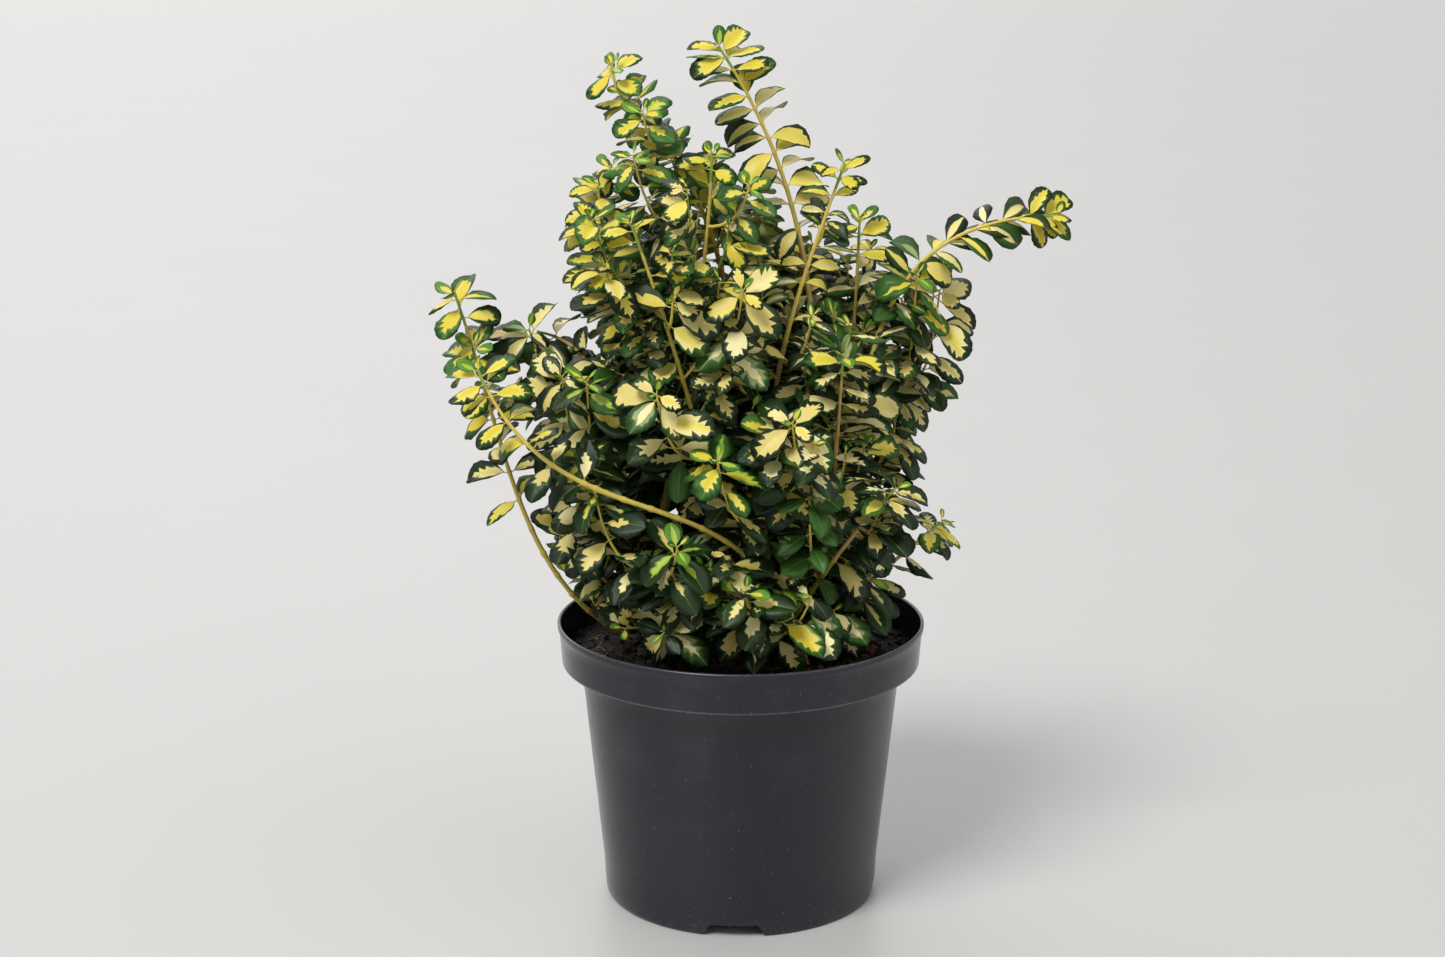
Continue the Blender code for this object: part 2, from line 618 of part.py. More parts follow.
class Mass:
    """One mass of foliage while it grows."""

    def __init__(self, shoot, crown, meshes, crew):
        self.shoot = shoot
        self.crown = crown
        self.leaf, self.twig = meshes
        self.crew = crew
        self.rng = random.Random(f"{SEED} {shoot.name}")
        self.taken = []

    def facing(self, base):
        """The way a leaf's upper face turns: up, out from the plant's axis, a little to the front."""
        outward = Vector((base.x, base.y, 0.0)).normalized() * FACE_OUTWARD
        lean = Vector([self.rng.uniform(-FACE_LEAN, FACE_LEAN) for _ in range(3)])
        return (outward + lean + Vector((0.0, -FACE_FRONT, 1.0))).normalized()

    def add_leaf(self, base, direction, size):
        """A leaf in the mass's own space, turned a little and made smaller where it must be."""
        for share in LEAF_TRIES:
            length = LEAF_LENGTH * size * share
            width = LEAF_WIDTH * size * share
            bend = Vector([self.rng.uniform(-1.0, 1.0) * (1.0 - share) * 2 for _ in range(3)])
            face = self.facing(base)
            along = direction.normalized() + bend
            x, y, z = frame_on(along - face * along.dot(face) * FACE_STRENGTH, face)
            root = base - x * LEAF_SUNK
            outline = leaf_points(root, x * length, y * width, LEAF_ACROSS)
            between = leaf_points(root, x * length, y * width, LEAF_BETWEEN)
            blade = outline[ROOT_SAMPLES:]
            if any((a - b).length < LEAF_APART for a in blade for b in self.taken):
                continue
            if self.crown.allows(self.shoot.name, outline + between):
                self.taken += blade
                placed(self.leaf, "leaf", root, (x, y, z), (length, width, LEAF_THICKNESS), self.crew)
                return

    def add_pair(self, base, axis, turn, opening, size):
        """Two opposite leaves at a node; opening is their angle from the axis."""
        x, y, z = frame_on(axis, ASKEW_UP)
        for side in (0.0, math.pi):
            angle = turn + side + self.rng.uniform(-0.2, 0.2)
            outward = y * math.cos(angle) + z * math.sin(angle)
            direction = x * math.cos(opening) + outward * math.sin(opening)
            stagger = PAIR_STAGGER if side else -PAIR_STAGGER
            self.add_leaf(base + x * stagger, direction, size * self.rng.uniform(0.9, 1.08))

    def add_twig(self, base, direction, reach, turn):
        """A side twig with a pair of leaves part of the way and a pair at its end."""
        direction = direction.normalized()
        end = base + direction * reach
        steps = [base.lerp(end, share) for share in TWIG_SAMPLES]
        if not self.crown.allows(self.shoot.name, steps):
            return
        sizes = (reach + TWIG_OVERLAP, TWIG_FOOT_RADIUS, TWIG_FOOT_RADIUS)
        placed(self.twig, "twig", base, frame_on(direction, ASKEW_UP), sizes, self.crew)
        if reach > PAIRED_TWIG:
            self.add_pair(base.lerp(end, MIDWAY), direction, turn, OPEN_ANGLE, TWIG_LEAF_SIZE)
        inset = end - direction * END_PAIR_INSET
        self.add_pair(inset, direction, turn + math.pi / 2, END_ANGLE, TWIG_LEAF_SIZE)

    def grow(self, leader):
        """Opposite pairs of twigs or leaves up the leader, each turned from the one below."""
        lengths = arc_lengths(leader)
        slender = self.shoot.girth < SLENDER_GIRTH
        spacing = SLENDER_NODE_SPACING if slender else NODE_SPACING
        leaf_size = SLENDER_LEAF_SIZE if slender else LEADER_LEAF_SIZE
        nodes = max(FEWEST_NODES, round(lengths[-1] / spacing))
        turn = self.rng.uniform(0, math.pi)
        for i in range(nodes + 1):
            at = max(FIRST_NODE, lengths[-1] * i / nodes - LAST_NODE_INSET)
            before, base = stretch(leader, at - AXIS_REACH, at, 2)
            axis = (base - before).normalized()
            turn += math.pi / 2 + self.rng.uniform(-0.25, 0.25)
            fullness = math.sin(math.pi * (SWELL_START + SWELL_SPAN * i / nodes)) ** SWELL_FULLNESS
            reach = self.shoot.girth * fullness * self.rng.uniform(0.85, 1.05)
            if slender or i == nodes or reach < SHORTEST_TWIG:
                self.add_pair(base, axis, turn, OPEN_ANGLE, leaf_size)
                continue
            x, y, z = frame_on(axis, ASKEW_UP)
            for angle in (turn, turn + math.pi):
                outward = y * math.cos(angle) + z * math.sin(angle)
                direction = x * TWIG_AHEAD + outward * TWIG_ASIDE + Vector((0.0, 0.0, TWIG_RISE))
                self.add_twig(base, direction, reach, turn)
        inset = base - axis * TIP_PAIR_INSET
        self.add_pair(inset, axis, turn + math.pi / 2, TIP_ANGLE, SLENDER_LEAF_SIZE)


def largest_shell(mesh):
    """Drops loose scraps and the walls of sealed hollows; tells whether the rest is closed."""
    bm = bmesh.new()
    bm.from_mesh(mesh)
    left = set(bm.faces)
    shells = []
    while left:
        shell = {left.pop()}
        edge_of_shell = list(shell)
        while edge_of_shell:
            face = edge_of_shell.pop()
            for edge in face.edges:
                for near in edge.link_faces:
                    if near in left:
                        left.discard(near)
                        shell.add(near)
                        edge_of_shell.append(near)
        shells.append(shell)
    keep = max(shells, key=lambda shell: sum(face.calc_area() for face in shell))
    bmesh.ops.delete(bm, geom=[face for face in bm.faces if face not in keep], context="FACES")
    closed = all(edge.is_manifold for edge in bm.edges)
    bm.to_mesh(mesh)
    bm.free()
    return closed


def build_mass(shoot, crown, meshes, outline, parts, leafy):
    """The leader, twigs and leaves of one mass, joined into one closed solid."""
    fine = shoot_curve(shoot)
    lengths = arc_lengths(fine)
    start = split_length(shoot, fine) + GAP
    leader = [point_at(fine, lengths, start)]
    leader += stretch(fine, start + JOINT_REACH, lengths[-1], LEADER_POINTS - 1)
    taper = (LEADER_TIP_RADIUS - LEADER_FOOT_RADIUS) / (LEADER_POINTS - 1)
    radii = [LEADER_FOOT_RADIUS + taper * i for i in range(LEADER_POINTS)]
    name = f"{shoot.name}_foliage"
    crew = new_collection(f"{shoot.name}_crew")
    Mass(shoot, crown, meshes, crew).grow(leader)
    for solver in ("EXACT", "MANIFOLD"):
        draft = tube(name, leader, radii, parts, leafy, outline)
        boolean(draft, "UNION", crew, solver)
        solid = bake(draft, parts, leafy)
        if largest_shell(solid.data):
            break
        if solver == "EXACT":
            bpy.data.objects.remove(solid, do_unlink=True)
    for obj in list(crew.objects):
        bpy.data.objects.remove(obj, do_unlink=True)
    bpy.data.collections.remove(crew)
    return solid


def main():
    clear_scene()
    parts = new_collection("wintercreeper_euonymus")
    cutters = new_collection("cutters")
    bark = principled("bark", (0.48, 0.36, 0.15), 0.65)
    leafy = principled("leaves", (0.16, 0.30, 0.10), 0.5)
    build_pot(parts, cutters)
    build_soil(parts)
    build_stems(parts, bark)
    for shoot in SHOOTS:
        build_bough(shoot, parts, cutters, bark)
    crown = Crown()
    meshes = (leaf_mesh(), twig_mesh())
    outline = triangle_profile(cutters)
    for shoot in SHOOTS:
        build_mass(shoot, crown, meshes, outline, parts, leafy)
    bpy.data.objects.remove(outline, do_unlink=True)


if __name__ == "__main__":
    main()
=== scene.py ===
"""Looks for a variegated wintercreeper euonymus in a round nursery pot.

Metres, +Z up, seen in the photograph from the -Y side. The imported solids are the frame. The pot,
soil, woody stems, boughs, twigs and leaves are built over them, and the leaves grow along the same
shoots as the solids do, by the same rule carried to finer twigs.
"""

import math
import random
from collections import namedtuple

import bmesh
import bpy
import numpy as np
from bpy.props import FloatProperty, FloatVectorProperty, IntProperty, PointerProperty
from mathutils import Matrix, Vector, noise
from mathutils.geometry import interpolate_bezier
from mathutils.kdtree import KDTree


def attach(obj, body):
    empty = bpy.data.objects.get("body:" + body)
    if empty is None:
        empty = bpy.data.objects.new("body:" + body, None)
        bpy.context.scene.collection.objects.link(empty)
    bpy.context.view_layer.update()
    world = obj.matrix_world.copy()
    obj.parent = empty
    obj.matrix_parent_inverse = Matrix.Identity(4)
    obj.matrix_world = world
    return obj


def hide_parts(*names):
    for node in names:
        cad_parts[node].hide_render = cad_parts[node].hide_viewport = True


bl_info = {
    "name": "Potted wintercreeper euonymus",
    "version": (1, 0, 0),
    "blender": (4, 5, 0),
    "location": "View3D > Sidebar > Euonymus",
    "description": "Builds the looks of a variegated euonymus shrub in its nursery pot",
    "category": "Object",
}

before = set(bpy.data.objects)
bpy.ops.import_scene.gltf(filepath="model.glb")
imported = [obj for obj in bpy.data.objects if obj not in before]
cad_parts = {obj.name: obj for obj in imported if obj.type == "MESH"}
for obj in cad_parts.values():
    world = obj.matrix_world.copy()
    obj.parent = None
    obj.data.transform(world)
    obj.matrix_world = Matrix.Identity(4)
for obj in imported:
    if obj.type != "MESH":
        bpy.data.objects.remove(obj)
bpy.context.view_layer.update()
# How many degrees the camera looks down, which also tells what hides what from the front
CAMERA_TILT = 13.6

# Pot
POT_HEIGHT = 0.175
RIM_RADIUS = 0.113
BAND_HEIGHT = 0.0255
BAND_FOOT_RADIUS = 0.1105
BODY_TOP_RADIUS = 0.0985
BASE_RADIUS = 0.0846
WALL = 0.0017
LIP_RADIUS = 0.0011
BEAD_DEPTH = 0.0012
BEAD_HEIGHT = 0.0054
FOOT_BEAD_TOP = 0.0095
FOOT_RING_INNER = 0.0745
PAD_RADIUS = 0.048
CHANNEL_HEIGHT = 0.007
FLOOR_TOP = 0.0095
NOTCH_COUNT = 4
NOTCH_WIDTH = 0.048
NOTCH_TOP_WIDTH = 0.029
NOTCH_HEIGHT = 0.0076
NOTCH_OVERCUT = 0.008
NOTCH_TURN = math.radians(-3)
SHARP_CORNER = math.radians(38)

# Soil
SOIL_TOP = 0.157
SOIL_RADIUS = 0.1085
SOIL_SKIRT = 0.006
# Lumps of the soil: how many to a metre, how high, and where their pattern starts
SOIL_LUMPS = ((38.0, 0.0024, (0, 0, 0)), (110.0, 0.0013, (5, 3, 0)), (320.0, 0.0007, (1, 9, 0)))

# Stems and shoots, as in the solids
STEM_TIP_SHARE = 0.84
FLARE = 0.55
FLARE_LENGTH = 0.010
BOUGH_FOOT_RADIUS = 0.0020
BOUGH_TIP_RADIUS = 0.0015
ARCH_RADII = {"right_arch": 0.0022, "left_arch": 0.0015, "front_arch": 0.0015, "right_arm": 0.0019}
LEADER_TIP_RADIUS = 0.0008
BOUGH_SIDES = 9
BOUGH_STEP = 0.0011
# Shoots whose bough is bright yellow, and those whose leader is
YELLOW_BOUGHS = ("left_arch", "front_arch", "right_arm", "right_arch")
YELLOW_LEADERS = ("left_arch", "front_arch", "right_arm", "top_centre")
SLENDER_GIRTH = 0.014
SPACE_MARGIN = -0.010
LIMB_MARGIN = 0.0012
SOIL_MARGIN = 0.002
SAMPLE_STEP = 0.004

# Stretches of shoots that stand in front of the foliage, as shares of their length, and the width
# kept clear before them
SHOWN = {
    "left_arch": (0.0, 0.42), "front_arch": (0.33, 0.72), "right_arch": (0.0, 0.72),
    "front_crown": (0.50, 0.93), "top_centre": (0.45, 0.72), "upper_right": (0.50, 0.97),
    "right_crown": (0.62, 0.96), "mid_right": (0.55, 0.90), "upper_front": (0.72, 0.93),
    "top_left": (0.50, 0.72),
}
SHOWN_CLEAR = 0.0030
# Soil shoots that bear leaves on their bough too, and the share of the bough where they start
CLOTHED_FROM = {"right_arm": 0.66, "right_arch": 0.80}
# Height over which boughs on the right are bare, so that light shows between the upper shoots
CLOTHED_TOP = 0.350
# Shoots whose bough bears leaves over that height too
CLOTHED_HIGH = ("top_centre",)

Stem = namedtuple("Stem", "foot top radius")
Shoot = namedtuple("Shoot", "name start leave arrive tip bare girth")

STEMS = {
    "left_stem": Stem((-0.044, -0.006), (-0.050, -0.002, 0.224), 0.0043),
    "back_stem": Stem((0.004, 0.036), (0.002, 0.044, 0.234), 0.0046),
    "right_stem": Stem((0.038, -0.002), (0.046, 0.003, 0.228), 0.0045),
    "front_stem": Stem((0.000, -0.030), (-0.004, -0.037, 0.210), 0.0038),
}

SHOOTS = [
    Shoot("top_left", ("back_stem", 1.0), (-0.005, -0.020, 0.102), (-0.076, -0.009, 0.071),
          (-0.074, -0.008, 0.500), 0.60, 0.018),
    Shoot("upper_back", ("back_stem", 0.72), (0.020, 0.030, 0.040), (-0.015, 0.0, 0.080),
          (0.020, 0.064, 0.408), 0.36, 0.055),
    Shoot("back_right", ("back_stem", 0.50), (0.045, 0.030, 0.025), (0.010, 0.015, 0.060),
          (0.076, 0.084, 0.360), 0.36, 0.046),
    Shoot("back_left", ("back_stem", 0.60), (-0.045, 0.030, 0.025), (-0.010, 0.015, 0.070),
          (-0.066, 0.080, 0.375), 0.36, 0.058),
    Shoot("low_back", ("back_stem", 0.28), (-0.005, 0.045, 0.015), (0.0, 0.022, 0.050),
          (0.006, 0.114, 0.275), 0.36, 0.052),
    Shoot("upper_front", ("left_stem", 1.0), (0.012, -0.010, 0.080), (0.002, -0.003, 0.085),
          (-0.017, -0.042, 0.470), 0.50, 0.042),
    Shoot("upper_left", ("left_stem", 0.72), (-0.032, 0.026, 0.065), (-0.032, -0.020, 0.070),
          (-0.086, -0.016, 0.441), 0.48, 0.026),
    Shoot("mid_left", ("left_stem", 0.58), (-0.044, 0.004, 0.064), (-0.066, 0.0, 0.004),
          (-0.129, 0.004, 0.354), 0.46, 0.026),
    Shoot("lower_left", ("left_stem", 0.42), (-0.036, 0.032, 0.046), (-0.070, -0.005, -0.016),
          (-0.154, 0.024, 0.310), 0.46, 0.032),
    Shoot("low_left", ("left_stem", 0.26), (-0.030, -0.020, 0.020), (-0.030, -0.010, 0.025),
          (-0.110, -0.044, 0.236), 0.36, 0.044),
    Shoot("top_centre", ("right_stem", 1.0), (0.002, 0.034, 0.105), (-0.066, -0.001, 0.093),
          (-0.017, 0.0, 0.528), 0.60, 0.004),
    Shoot("upper_right", ("right_stem", 0.62), (-0.050, -0.030, 0.082), (0.034, 0.011, 0.092),
          (0.062, -0.022, 0.463), 0.58, 0.008),
    Shoot("right_crown", ("right_stem", 0.74), (0.022, 0.032, 0.050), (0.002, 0.003, 0.070),
          (0.072, 0.028, 0.424), 0.36, 0.032),
    Shoot("right_side", ("right_stem", 0.42), (0.034, 0.030, 0.030), (0.015, 0.008, 0.050),
          (0.096, 0.044, 0.308), 0.36, 0.034),
    Shoot("mid_right", ("right_stem", 0.52), (0.014, -0.028, 0.036), (0.003, -0.020, 0.060),
          (0.058, -0.074, 0.358), 0.36, 0.044),
    Shoot("low_right", ("right_stem", 0.22), (0.034, 0.002, 0.018), (0.029, -0.001, 0.026),
          (0.127, 0.006, 0.238), 0.46, 0.012),
    Shoot("front_crown", ("front_stem", 1.0), (-0.016, -0.016, 0.076), (-0.027, -0.009, 0.076),
          (-0.064, -0.084, 0.435), 0.46, 0.040),
    Shoot("mid_front", ("front_stem", 0.66), (0.024, -0.022, 0.046), (0.008, -0.030, 0.040),
          (0.022, -0.104, 0.322), 0.44, 0.050),
    Shoot("low_front", ("front_stem", 0.28), (0.006, -0.026, 0.010), (0.004, -0.020, 0.025),
          (0.010, -0.102, 0.220), 0.36, 0.036),
    Shoot("low_front_left", ("front_stem", 0.45), (-0.030, -0.018, 0.010), (-0.005, -0.018, 0.030),
          (-0.052, -0.082, 0.230), 0.36, 0.036),
    Shoot("left_arch", ("soil", -0.068, 0.014), (-0.068, -0.064, 0.054), (-0.031, 0.005, 0.088),
          (-0.171, -0.020, 0.386), 0.42, 0.006),
    Shoot("front_arch", ("soil", 0.040, -0.038), (-0.036, -0.050, 0.150), (-0.049, 0.039, 0.114),
          (-0.152, -0.083, 0.352), 0.68, 0.006),
    Shoot("right_arm", ("soil", 0.066, -0.006), (0.0, -0.004, 0.190), (0.118, 0.0, 0.000),
          (0.193, -0.006, 0.425), 0.58, 0.012),
    Shoot("right_arch", ("soil", 0.018, -0.010), (0.021, -0.029, 0.040), (0.033, -0.018, 0.038),
          (0.092, -0.077, 0.279), 0.56, 0.020),
]

# Star-shaped tips that stand out in front of the crown, by the shoot that bears them: place and kind
STARS = {
    "top_left": [(-0.075, -0.010, 0.512, "young"), (-0.057, -0.030, 0.487, "lime"),
                 (-0.062, -0.045, 0.463, "lime")],
    "upper_left": [(-0.083, -0.035, 0.446, "young"), (-0.076, -0.020, 0.454, "young")],
    "upper_front": [(0.004, -0.050, 0.447, "lime"), (0.000, -0.092, 0.393, "old")],
    "upper_right": [(0.049, -0.020, 0.427, "green"), (0.040, -0.060, 0.373, "green")],
    "right_crown": [(0.055, 0.000, 0.364, "lime")],
    "right_side": [(0.104, -0.010, 0.389, "lime"), (0.096, -0.004, 0.374, "green"),
                   (0.119, 0.004, 0.378, "old"), (0.064, -0.052, 0.240, "old")],
    "back_right": [(0.086, 0.012, 0.372, "old"), (0.074, 0.006, 0.352, "green")],
    "left_arch": [(-0.158, -0.030, 0.350, "lime")],
    "mid_left": [(-0.126, -0.012, 0.357, "old")],
    "lower_left": [(-0.104, -0.055, 0.337, "old"), (-0.089, -0.070, 0.337, "green")],
    "low_left": [(-0.092, -0.080, 0.296, "green"), (-0.088, -0.040, 0.196, "old")],
    "front_crown": [(-0.048, -0.105, 0.337, "old"), (-0.039, -0.090, 0.388, "old")],
    "mid_right": [(0.028, -0.108, 0.321, "old"), (0.038, -0.100, 0.279, "fresh")],
    "mid_front": [(-0.014, -0.115, 0.301, "lime")],
    "low_front_left": [(-0.037, -0.105, 0.248, "green"), (-0.084, -0.090, 0.277, "green"),
                       (-0.045, -0.086, 0.192, "old"), (-0.068, -0.064, 0.188, "old")],
    "low_front": [(0.002, -0.105, 0.222, "green"), (0.040, -0.088, 0.214, "old")],
    "low_right": [(0.076, -0.044, 0.214, "green"), (0.054, -0.062, 0.198, "old")],
}

# Of each kind of star: the age of its leaves, how far it leans to the front, and its size
STAR_KINDS = {
    "lime": ("lime", 0.30, 1.0), "young": ("young", 0.30, 1.0), "green": ("green", 0.45, 1.0),
    "old": ("bold", 0.90, 1.05), "fresh": ("plain", 0.30, 0.78),
}

# The shoots whose leaves and twigs are joined into one piece each
GROUPS = {
    "top": ("top_left", "top_centre", "upper_front", "upper_left"),
    "back": ("upper_back", "back_right"),
    "back_left": ("back_left", "low_back"),
    "left": ("mid_left", "lower_left", "left_arch", "front_arch"),
    "right": ("upper_right", "right_crown", "right_side", "right_arm", "right_arch"),
    "front": ("mid_right", "front_crown", "mid_front"),
    "low": ("low_front", "low_front_left", "low_right", "low_left"),
}

# Tones of the leaves, dealt out leaf by leaf
TONES = {
    "cream_pale": (232, 222, 162),
    "cream": (226, 212, 140),
    "cream_warm": (218, 200, 118),
    # This cream is a shaded copy of the others: painted shade, dealt only to leaves in the lower half of the
    # crown.
    "cream_dull": (202, 186, 118),
    "yellow_bright": (214, 196, 60),
    "yellow_soft": (222, 205, 92),
    "lime": (164, 188, 64),
    "green_deep": (21, 37, 12),
    "green_blue": (35, 55, 33),
    "green_dark": (31, 54, 18),
    "green_mid": (46, 83, 26),
    "green_leaf": (58, 101, 37),
    "green_fresh": (88, 136, 44),
    "half_grey": (86, 102, 58),
    "marble": (142, 156, 102),
    "half_green": (108, 134, 48),
    "vein": (84, 108, 54),
    "under_green": (90, 114, 64),
    "under_pale": (112, 136, 80),
    "under_cream": (176, 180, 112),
    "under_yellow": (186, 190, 98),
    "stalk": (190, 184, 92),
}
TONE_INDEX = {name: i for i, name in enumerate(TONES)}
TWIG_TONES = {
    "twig_green": (134, 158, 66),
    "twig_yellow": (206, 184, 82),
    "twig_tan": (208, 178, 108),
}
# How far down from its tip a tall shoot bears no side twigs
PLAIN_TOP = {
    "right_crown": 0.085, "top_left": 0.088, "front_crown": 0.040, "mid_left": 0.050, "upper_front": 0.062,
}
# Shoots with leaves larger or smaller than the rest
LEAF_SCALE = {
    "top_centre": 1.06, "right_arm": 0.95, "mid_left": 1.12, "top_left": 1.12, "upper_right": 0.80,
    "right_crown": 0.92,
}
# Shoots with narrower leaves than the rest
LEAF_WIDTH = {"upper_right": 0.66, "right_crown": 0.84}
# Shoots whose pairs of leaves stand farther apart, or closer, than the rest
SPARSE = {
    "left_arch": 1.50, "front_arch": 1.45, "top_centre": 0.90, "right_arm": 0.80, "top_left": 0.82,
    "upper_left": 0.80, "upper_front": 0.88, "low_front": 1.15, "low_front_left": 1.15,
    "low_left": 1.12, "low_right": 1.12,
}
# The power that draws pairs closer together toward a shoot's tip: the smaller, the closer
CLOSER_TO_TIP = {"top_centre": 0.82}
CLOSER_PLAIN = 0.92
# Shoots whose tip is smaller or larger than the rest
TIP_SIZE = {"right_arm": 0.66, "top_centre": 0.88, "mid_left": 0.0, "left_arch": 1.0}
# How far the leaves of some shoots turn to the front, and those of the rest
FRONT = {"left_arch": 0.50, "front_arch": 0.50}
FRONT_PLAIN = 0.16
# Shoots whose pairs of leaves spread to both sides, their faces to the front, over this height
COMBS = {"right_arm": 0.0, "top_centre": 0.36, "upper_right": 0.36, "right_crown": 0.35}
# How far from its tip a shoot's leaves are young and yellow
YOUNG_REACH = {
    "top_left": 0.130, "upper_left": 0.070, "front_crown": 0.050, "upper_front": 0.060, "top_centre": 0.036,
    "left_arch": 0.110, "front_arch": 0.060, "right_arm": 0.030, "upper_right": 0.025, "right_crown": 0.030,
}
# Share of the pale patch that is left on leaves with none, one, two or more others before them. Inner leaves
# are greener, and this also paints shade deep into the crown
SHADED_PATCH = (1.0, 0.80, 0.62, 0.45)
# Another leaf lies before one where it is this far out of it, and this near to its line outward
AHEAD_FROM = 0.012
AHEAD_WITHIN = 0.011
# Leaves grow smaller over one height, and turn more to the front over another
SMALL_FROM = 0.395
SMALL_WITHIN = 0.05
SMALLER_BY = 0.27
FRONT_FROM = 0.37
FRONT_WITHIN = 0.10
FRONT_MORE = 0.42
# A leaf is tried at these shares of its size. Its points are tested at these shares of its length and
# half width, all but the first few, which lie by its stalk
LEAF_TRIES = (1.0, 1.0, 0.97, 0.94, 0.90, 0.85, 0.80)
TESTED_ALONG = (0.12, 0.28, 0.44, 0.60, 0.76, 0.92, 1.0)
TESTED_ACROSS = (-0.92, -0.5, 0.0, 0.5, 0.92)
TESTED_FROM = 10
# How many of a leaf's points may touch other leaves, in the crown and on a comb
MOST_TOUCHES = 5
MOST_COMB_TOUCHES = 11
# A star stands at least this far over the foot of its stem, and this steep
STAR_LEAST_RISE = 0.016
STAR_SLOPE = 0.8
STAR_STEM_RADIUS = 0.00115
TWIG_RADIUS = 0.00100
FINE_TWIG_RADIUS = 0.00075
# How far a leader ends before its curve does, for the leaves of its tip to reach the curve's end
TIP_SHORTENED = 0.006
LEADER_SIDES = 7
# Rows of faces on a leaf deep in the crown, and the most triangles of one piece
COARSE_ROWS = 6
MOST_TRIANGLES = 199000

# Of each kind of leaf, the least and the most of how far out, how far along and how deeply notched
# its pale patch is, and the share of the blade over which the patch's edge is even
PATCHES = {
    "fresh": ((0.20, 0.62), (0.60, 0.90), (0.20, 0.50), 0.40),
    "lime": ((0.36, 0.70), (0.55, 0.85), (0.30, 0.80), 0.15),
    "green": ((0.15, 0.50), (0.40, 0.78), (0.30, 0.80), 0.15),
    "young": ((0.60, 0.84), (0.68, 0.92), (0.20, 0.60), 0.25),
    "marbled": ((0.50, 0.80), (0.60, 0.90), (0.20, 0.60), 0.20),
    "shaded": ((0.30, 0.60), (0.40, 0.70), (0.30, 0.80), 0.10),
    "rimmed": ((0.74, 0.84), (0.88, 0.98), (0.08, 0.35), 0.40),
    "bold": ((0.72, 0.88), (0.76, 0.92), (0.30, 0.70), 0.30),
    "even": ((0.76, 0.85), (0.88, 0.98), (0.10, 0.40), 0.40),
    "feathered": ((0.64, 0.86), (0.66, 0.90), (0.35, 0.78), 0.25),
    "slim": ((0.46, 0.76), (0.52, 0.80), (0.40, 0.85), 0.16),
}


def linear(rgb):
    """A colour of three numbers up to 255 as the shader's linear values."""
    parts = [c / 255 for c in rgb]
    return tuple(part / 12.92 if part <= 0.04045 else ((part + 0.055) / 1.055) ** 2.4 for part in parts)


def clamp(value):
    return min(1.0, max(0.0, value))


def ramp(value, start, within):
    """Nought up to the start, then rising to one within a distance."""
    return clamp((value - start) / within)


# Settings

def colour(name, description, rgb):
    return FloatVectorProperty(name=name, description=description, subtype="COLOR", size=3,
                               default=linear(rgb), min=0.0, max=1.0)


def way(name, description, default):
    return FloatVectorProperty(name=name, description=description, subtype="DIRECTION", size=3,
                               default=default)


def length(name, description, default, low=0.0, high=1.0):
    return FloatProperty(name=name, description=description, default=default, min=low, max=high,
                         unit="LENGTH", precision=4)


def share(name, description, default):
    return FloatProperty(name=name, description=description, default=default, min=0.0, max=1.0,
                         subtype="FACTOR")


def strength(name, description, default):
    return FloatProperty(name=name, description=description, default=default, min=0.0, max=10.0)


def angle(name, description, degrees):
    return FloatProperty(name=name, description=description, default=math.radians(degrees), min=0.0,
                         max=math.pi, subtype="ANGLE")


def amount(name, description, default, low=0, high=4000):
    return IntProperty(name=name, description=description, default=default, min=low, max=high)


class PotSettings(bpy.types.PropertyGroup):
    plastic: colour("Plastic", "Base colour of the black plastic", (24, 25, 35))
    # This pale colour marks the dusty specks and scuffs, and it is also the colour of the painted top light
    # on the pot's body.
    dust_and_top_light: colour("Dust", "Colour of the dust and scuffs on the plastic", (168, 168, 174))
    roughness: share("Roughness", "How dull the clean plastic is", 0.17)
    turn_steps: amount("Steps", "Faces around the pot", 144, 36, 360)


class SoilSettings(bpy.types.PropertyGroup):
    earth: colour("Earth", "Main colour of the damp potting soil", (30, 22, 16))
    fibre: colour("Fibre", "Colour of the coarse plant fibres", (104, 62, 36))
    root: colour("Root", "Colour of the fine pale roots", (176, 150, 108))
    moss: colour("Moss", "Colour of the specks of moss", (72, 84, 24))
    grit: colour("Grit", "Colour of the pale grit", (196, 186, 160))
    crumbs: amount("Crumbs", "Number of crumbs on the soil", 900)
    bark_bits: amount("Bits of bark", "Number of bits of bark on the soil", 230)
    moss_specks: amount("Specks of moss", "Number of specks of moss on the soil", 320)
    grit_bits: amount("Bits of grit", "Number of bits of grit on the soil", 46)
    fibres: amount("Fibres", "Number of fibres on the soil", 420)
    fine_roots: amount("Fine roots", "Number of fine roots on the soil", 110)
    seed: amount("Seed", "Seed of the soil's pattern", 5)


class WoodSettings(bpy.types.PropertyGroup):
    old_bark: colour("Old bark", "Colour of the woody stems", (128, 98, 60))
    young_bark: colour("Young bark", "Colour of the shoots' tan bark", (208, 178, 108))
    arch_bark: colour("Arching shoots", "Colour of the bright yellow arching shoots", (210, 188, 84))
    relief: length("Relief", "Depth of the bark's ridges", 0.00035, 0.0, 0.003)
    node_spacing: length("Nodes", "Distance between the swollen nodes of a shoot", 0.017, 0.005, 0.1)


class LeafSettings(bpy.types.PropertyGroup):
    length: length("Leaf length", "Length of a full-grown leaf's blade", 0.0266, 0.005, 0.1)
    width: share("Leaf width", "Width of a blade as a share of its length", 0.64)
    stalk: length("Stalk", "Length of a leaf's stalk", 0.0030, 0.0, 0.02)
    thickness: length("Thickness", "Thickness of a blade at its midrib", 0.00034, 0.0, 0.003)
    rows: amount("Rows", "Rows of faces along a blade", 12, 6, 24)
    node_spacing: length("Nodes", "Distance between pairs of leaves on a leader", 0.0115, 0.005, 0.1)
    twig_spacing: length("Twig nodes", "Distance between pairs of leaves on a side twig", 0.0098, 0.005, 0.1)
    apart: length("Apart", "Least distance between two leaves", 0.0020, 0.0, 0.02)
    gloss: share("Roughness", "How dull the upper side of a leaf is", 0.44)
    seed: amount("Seed", "Seed of the growth", 17)


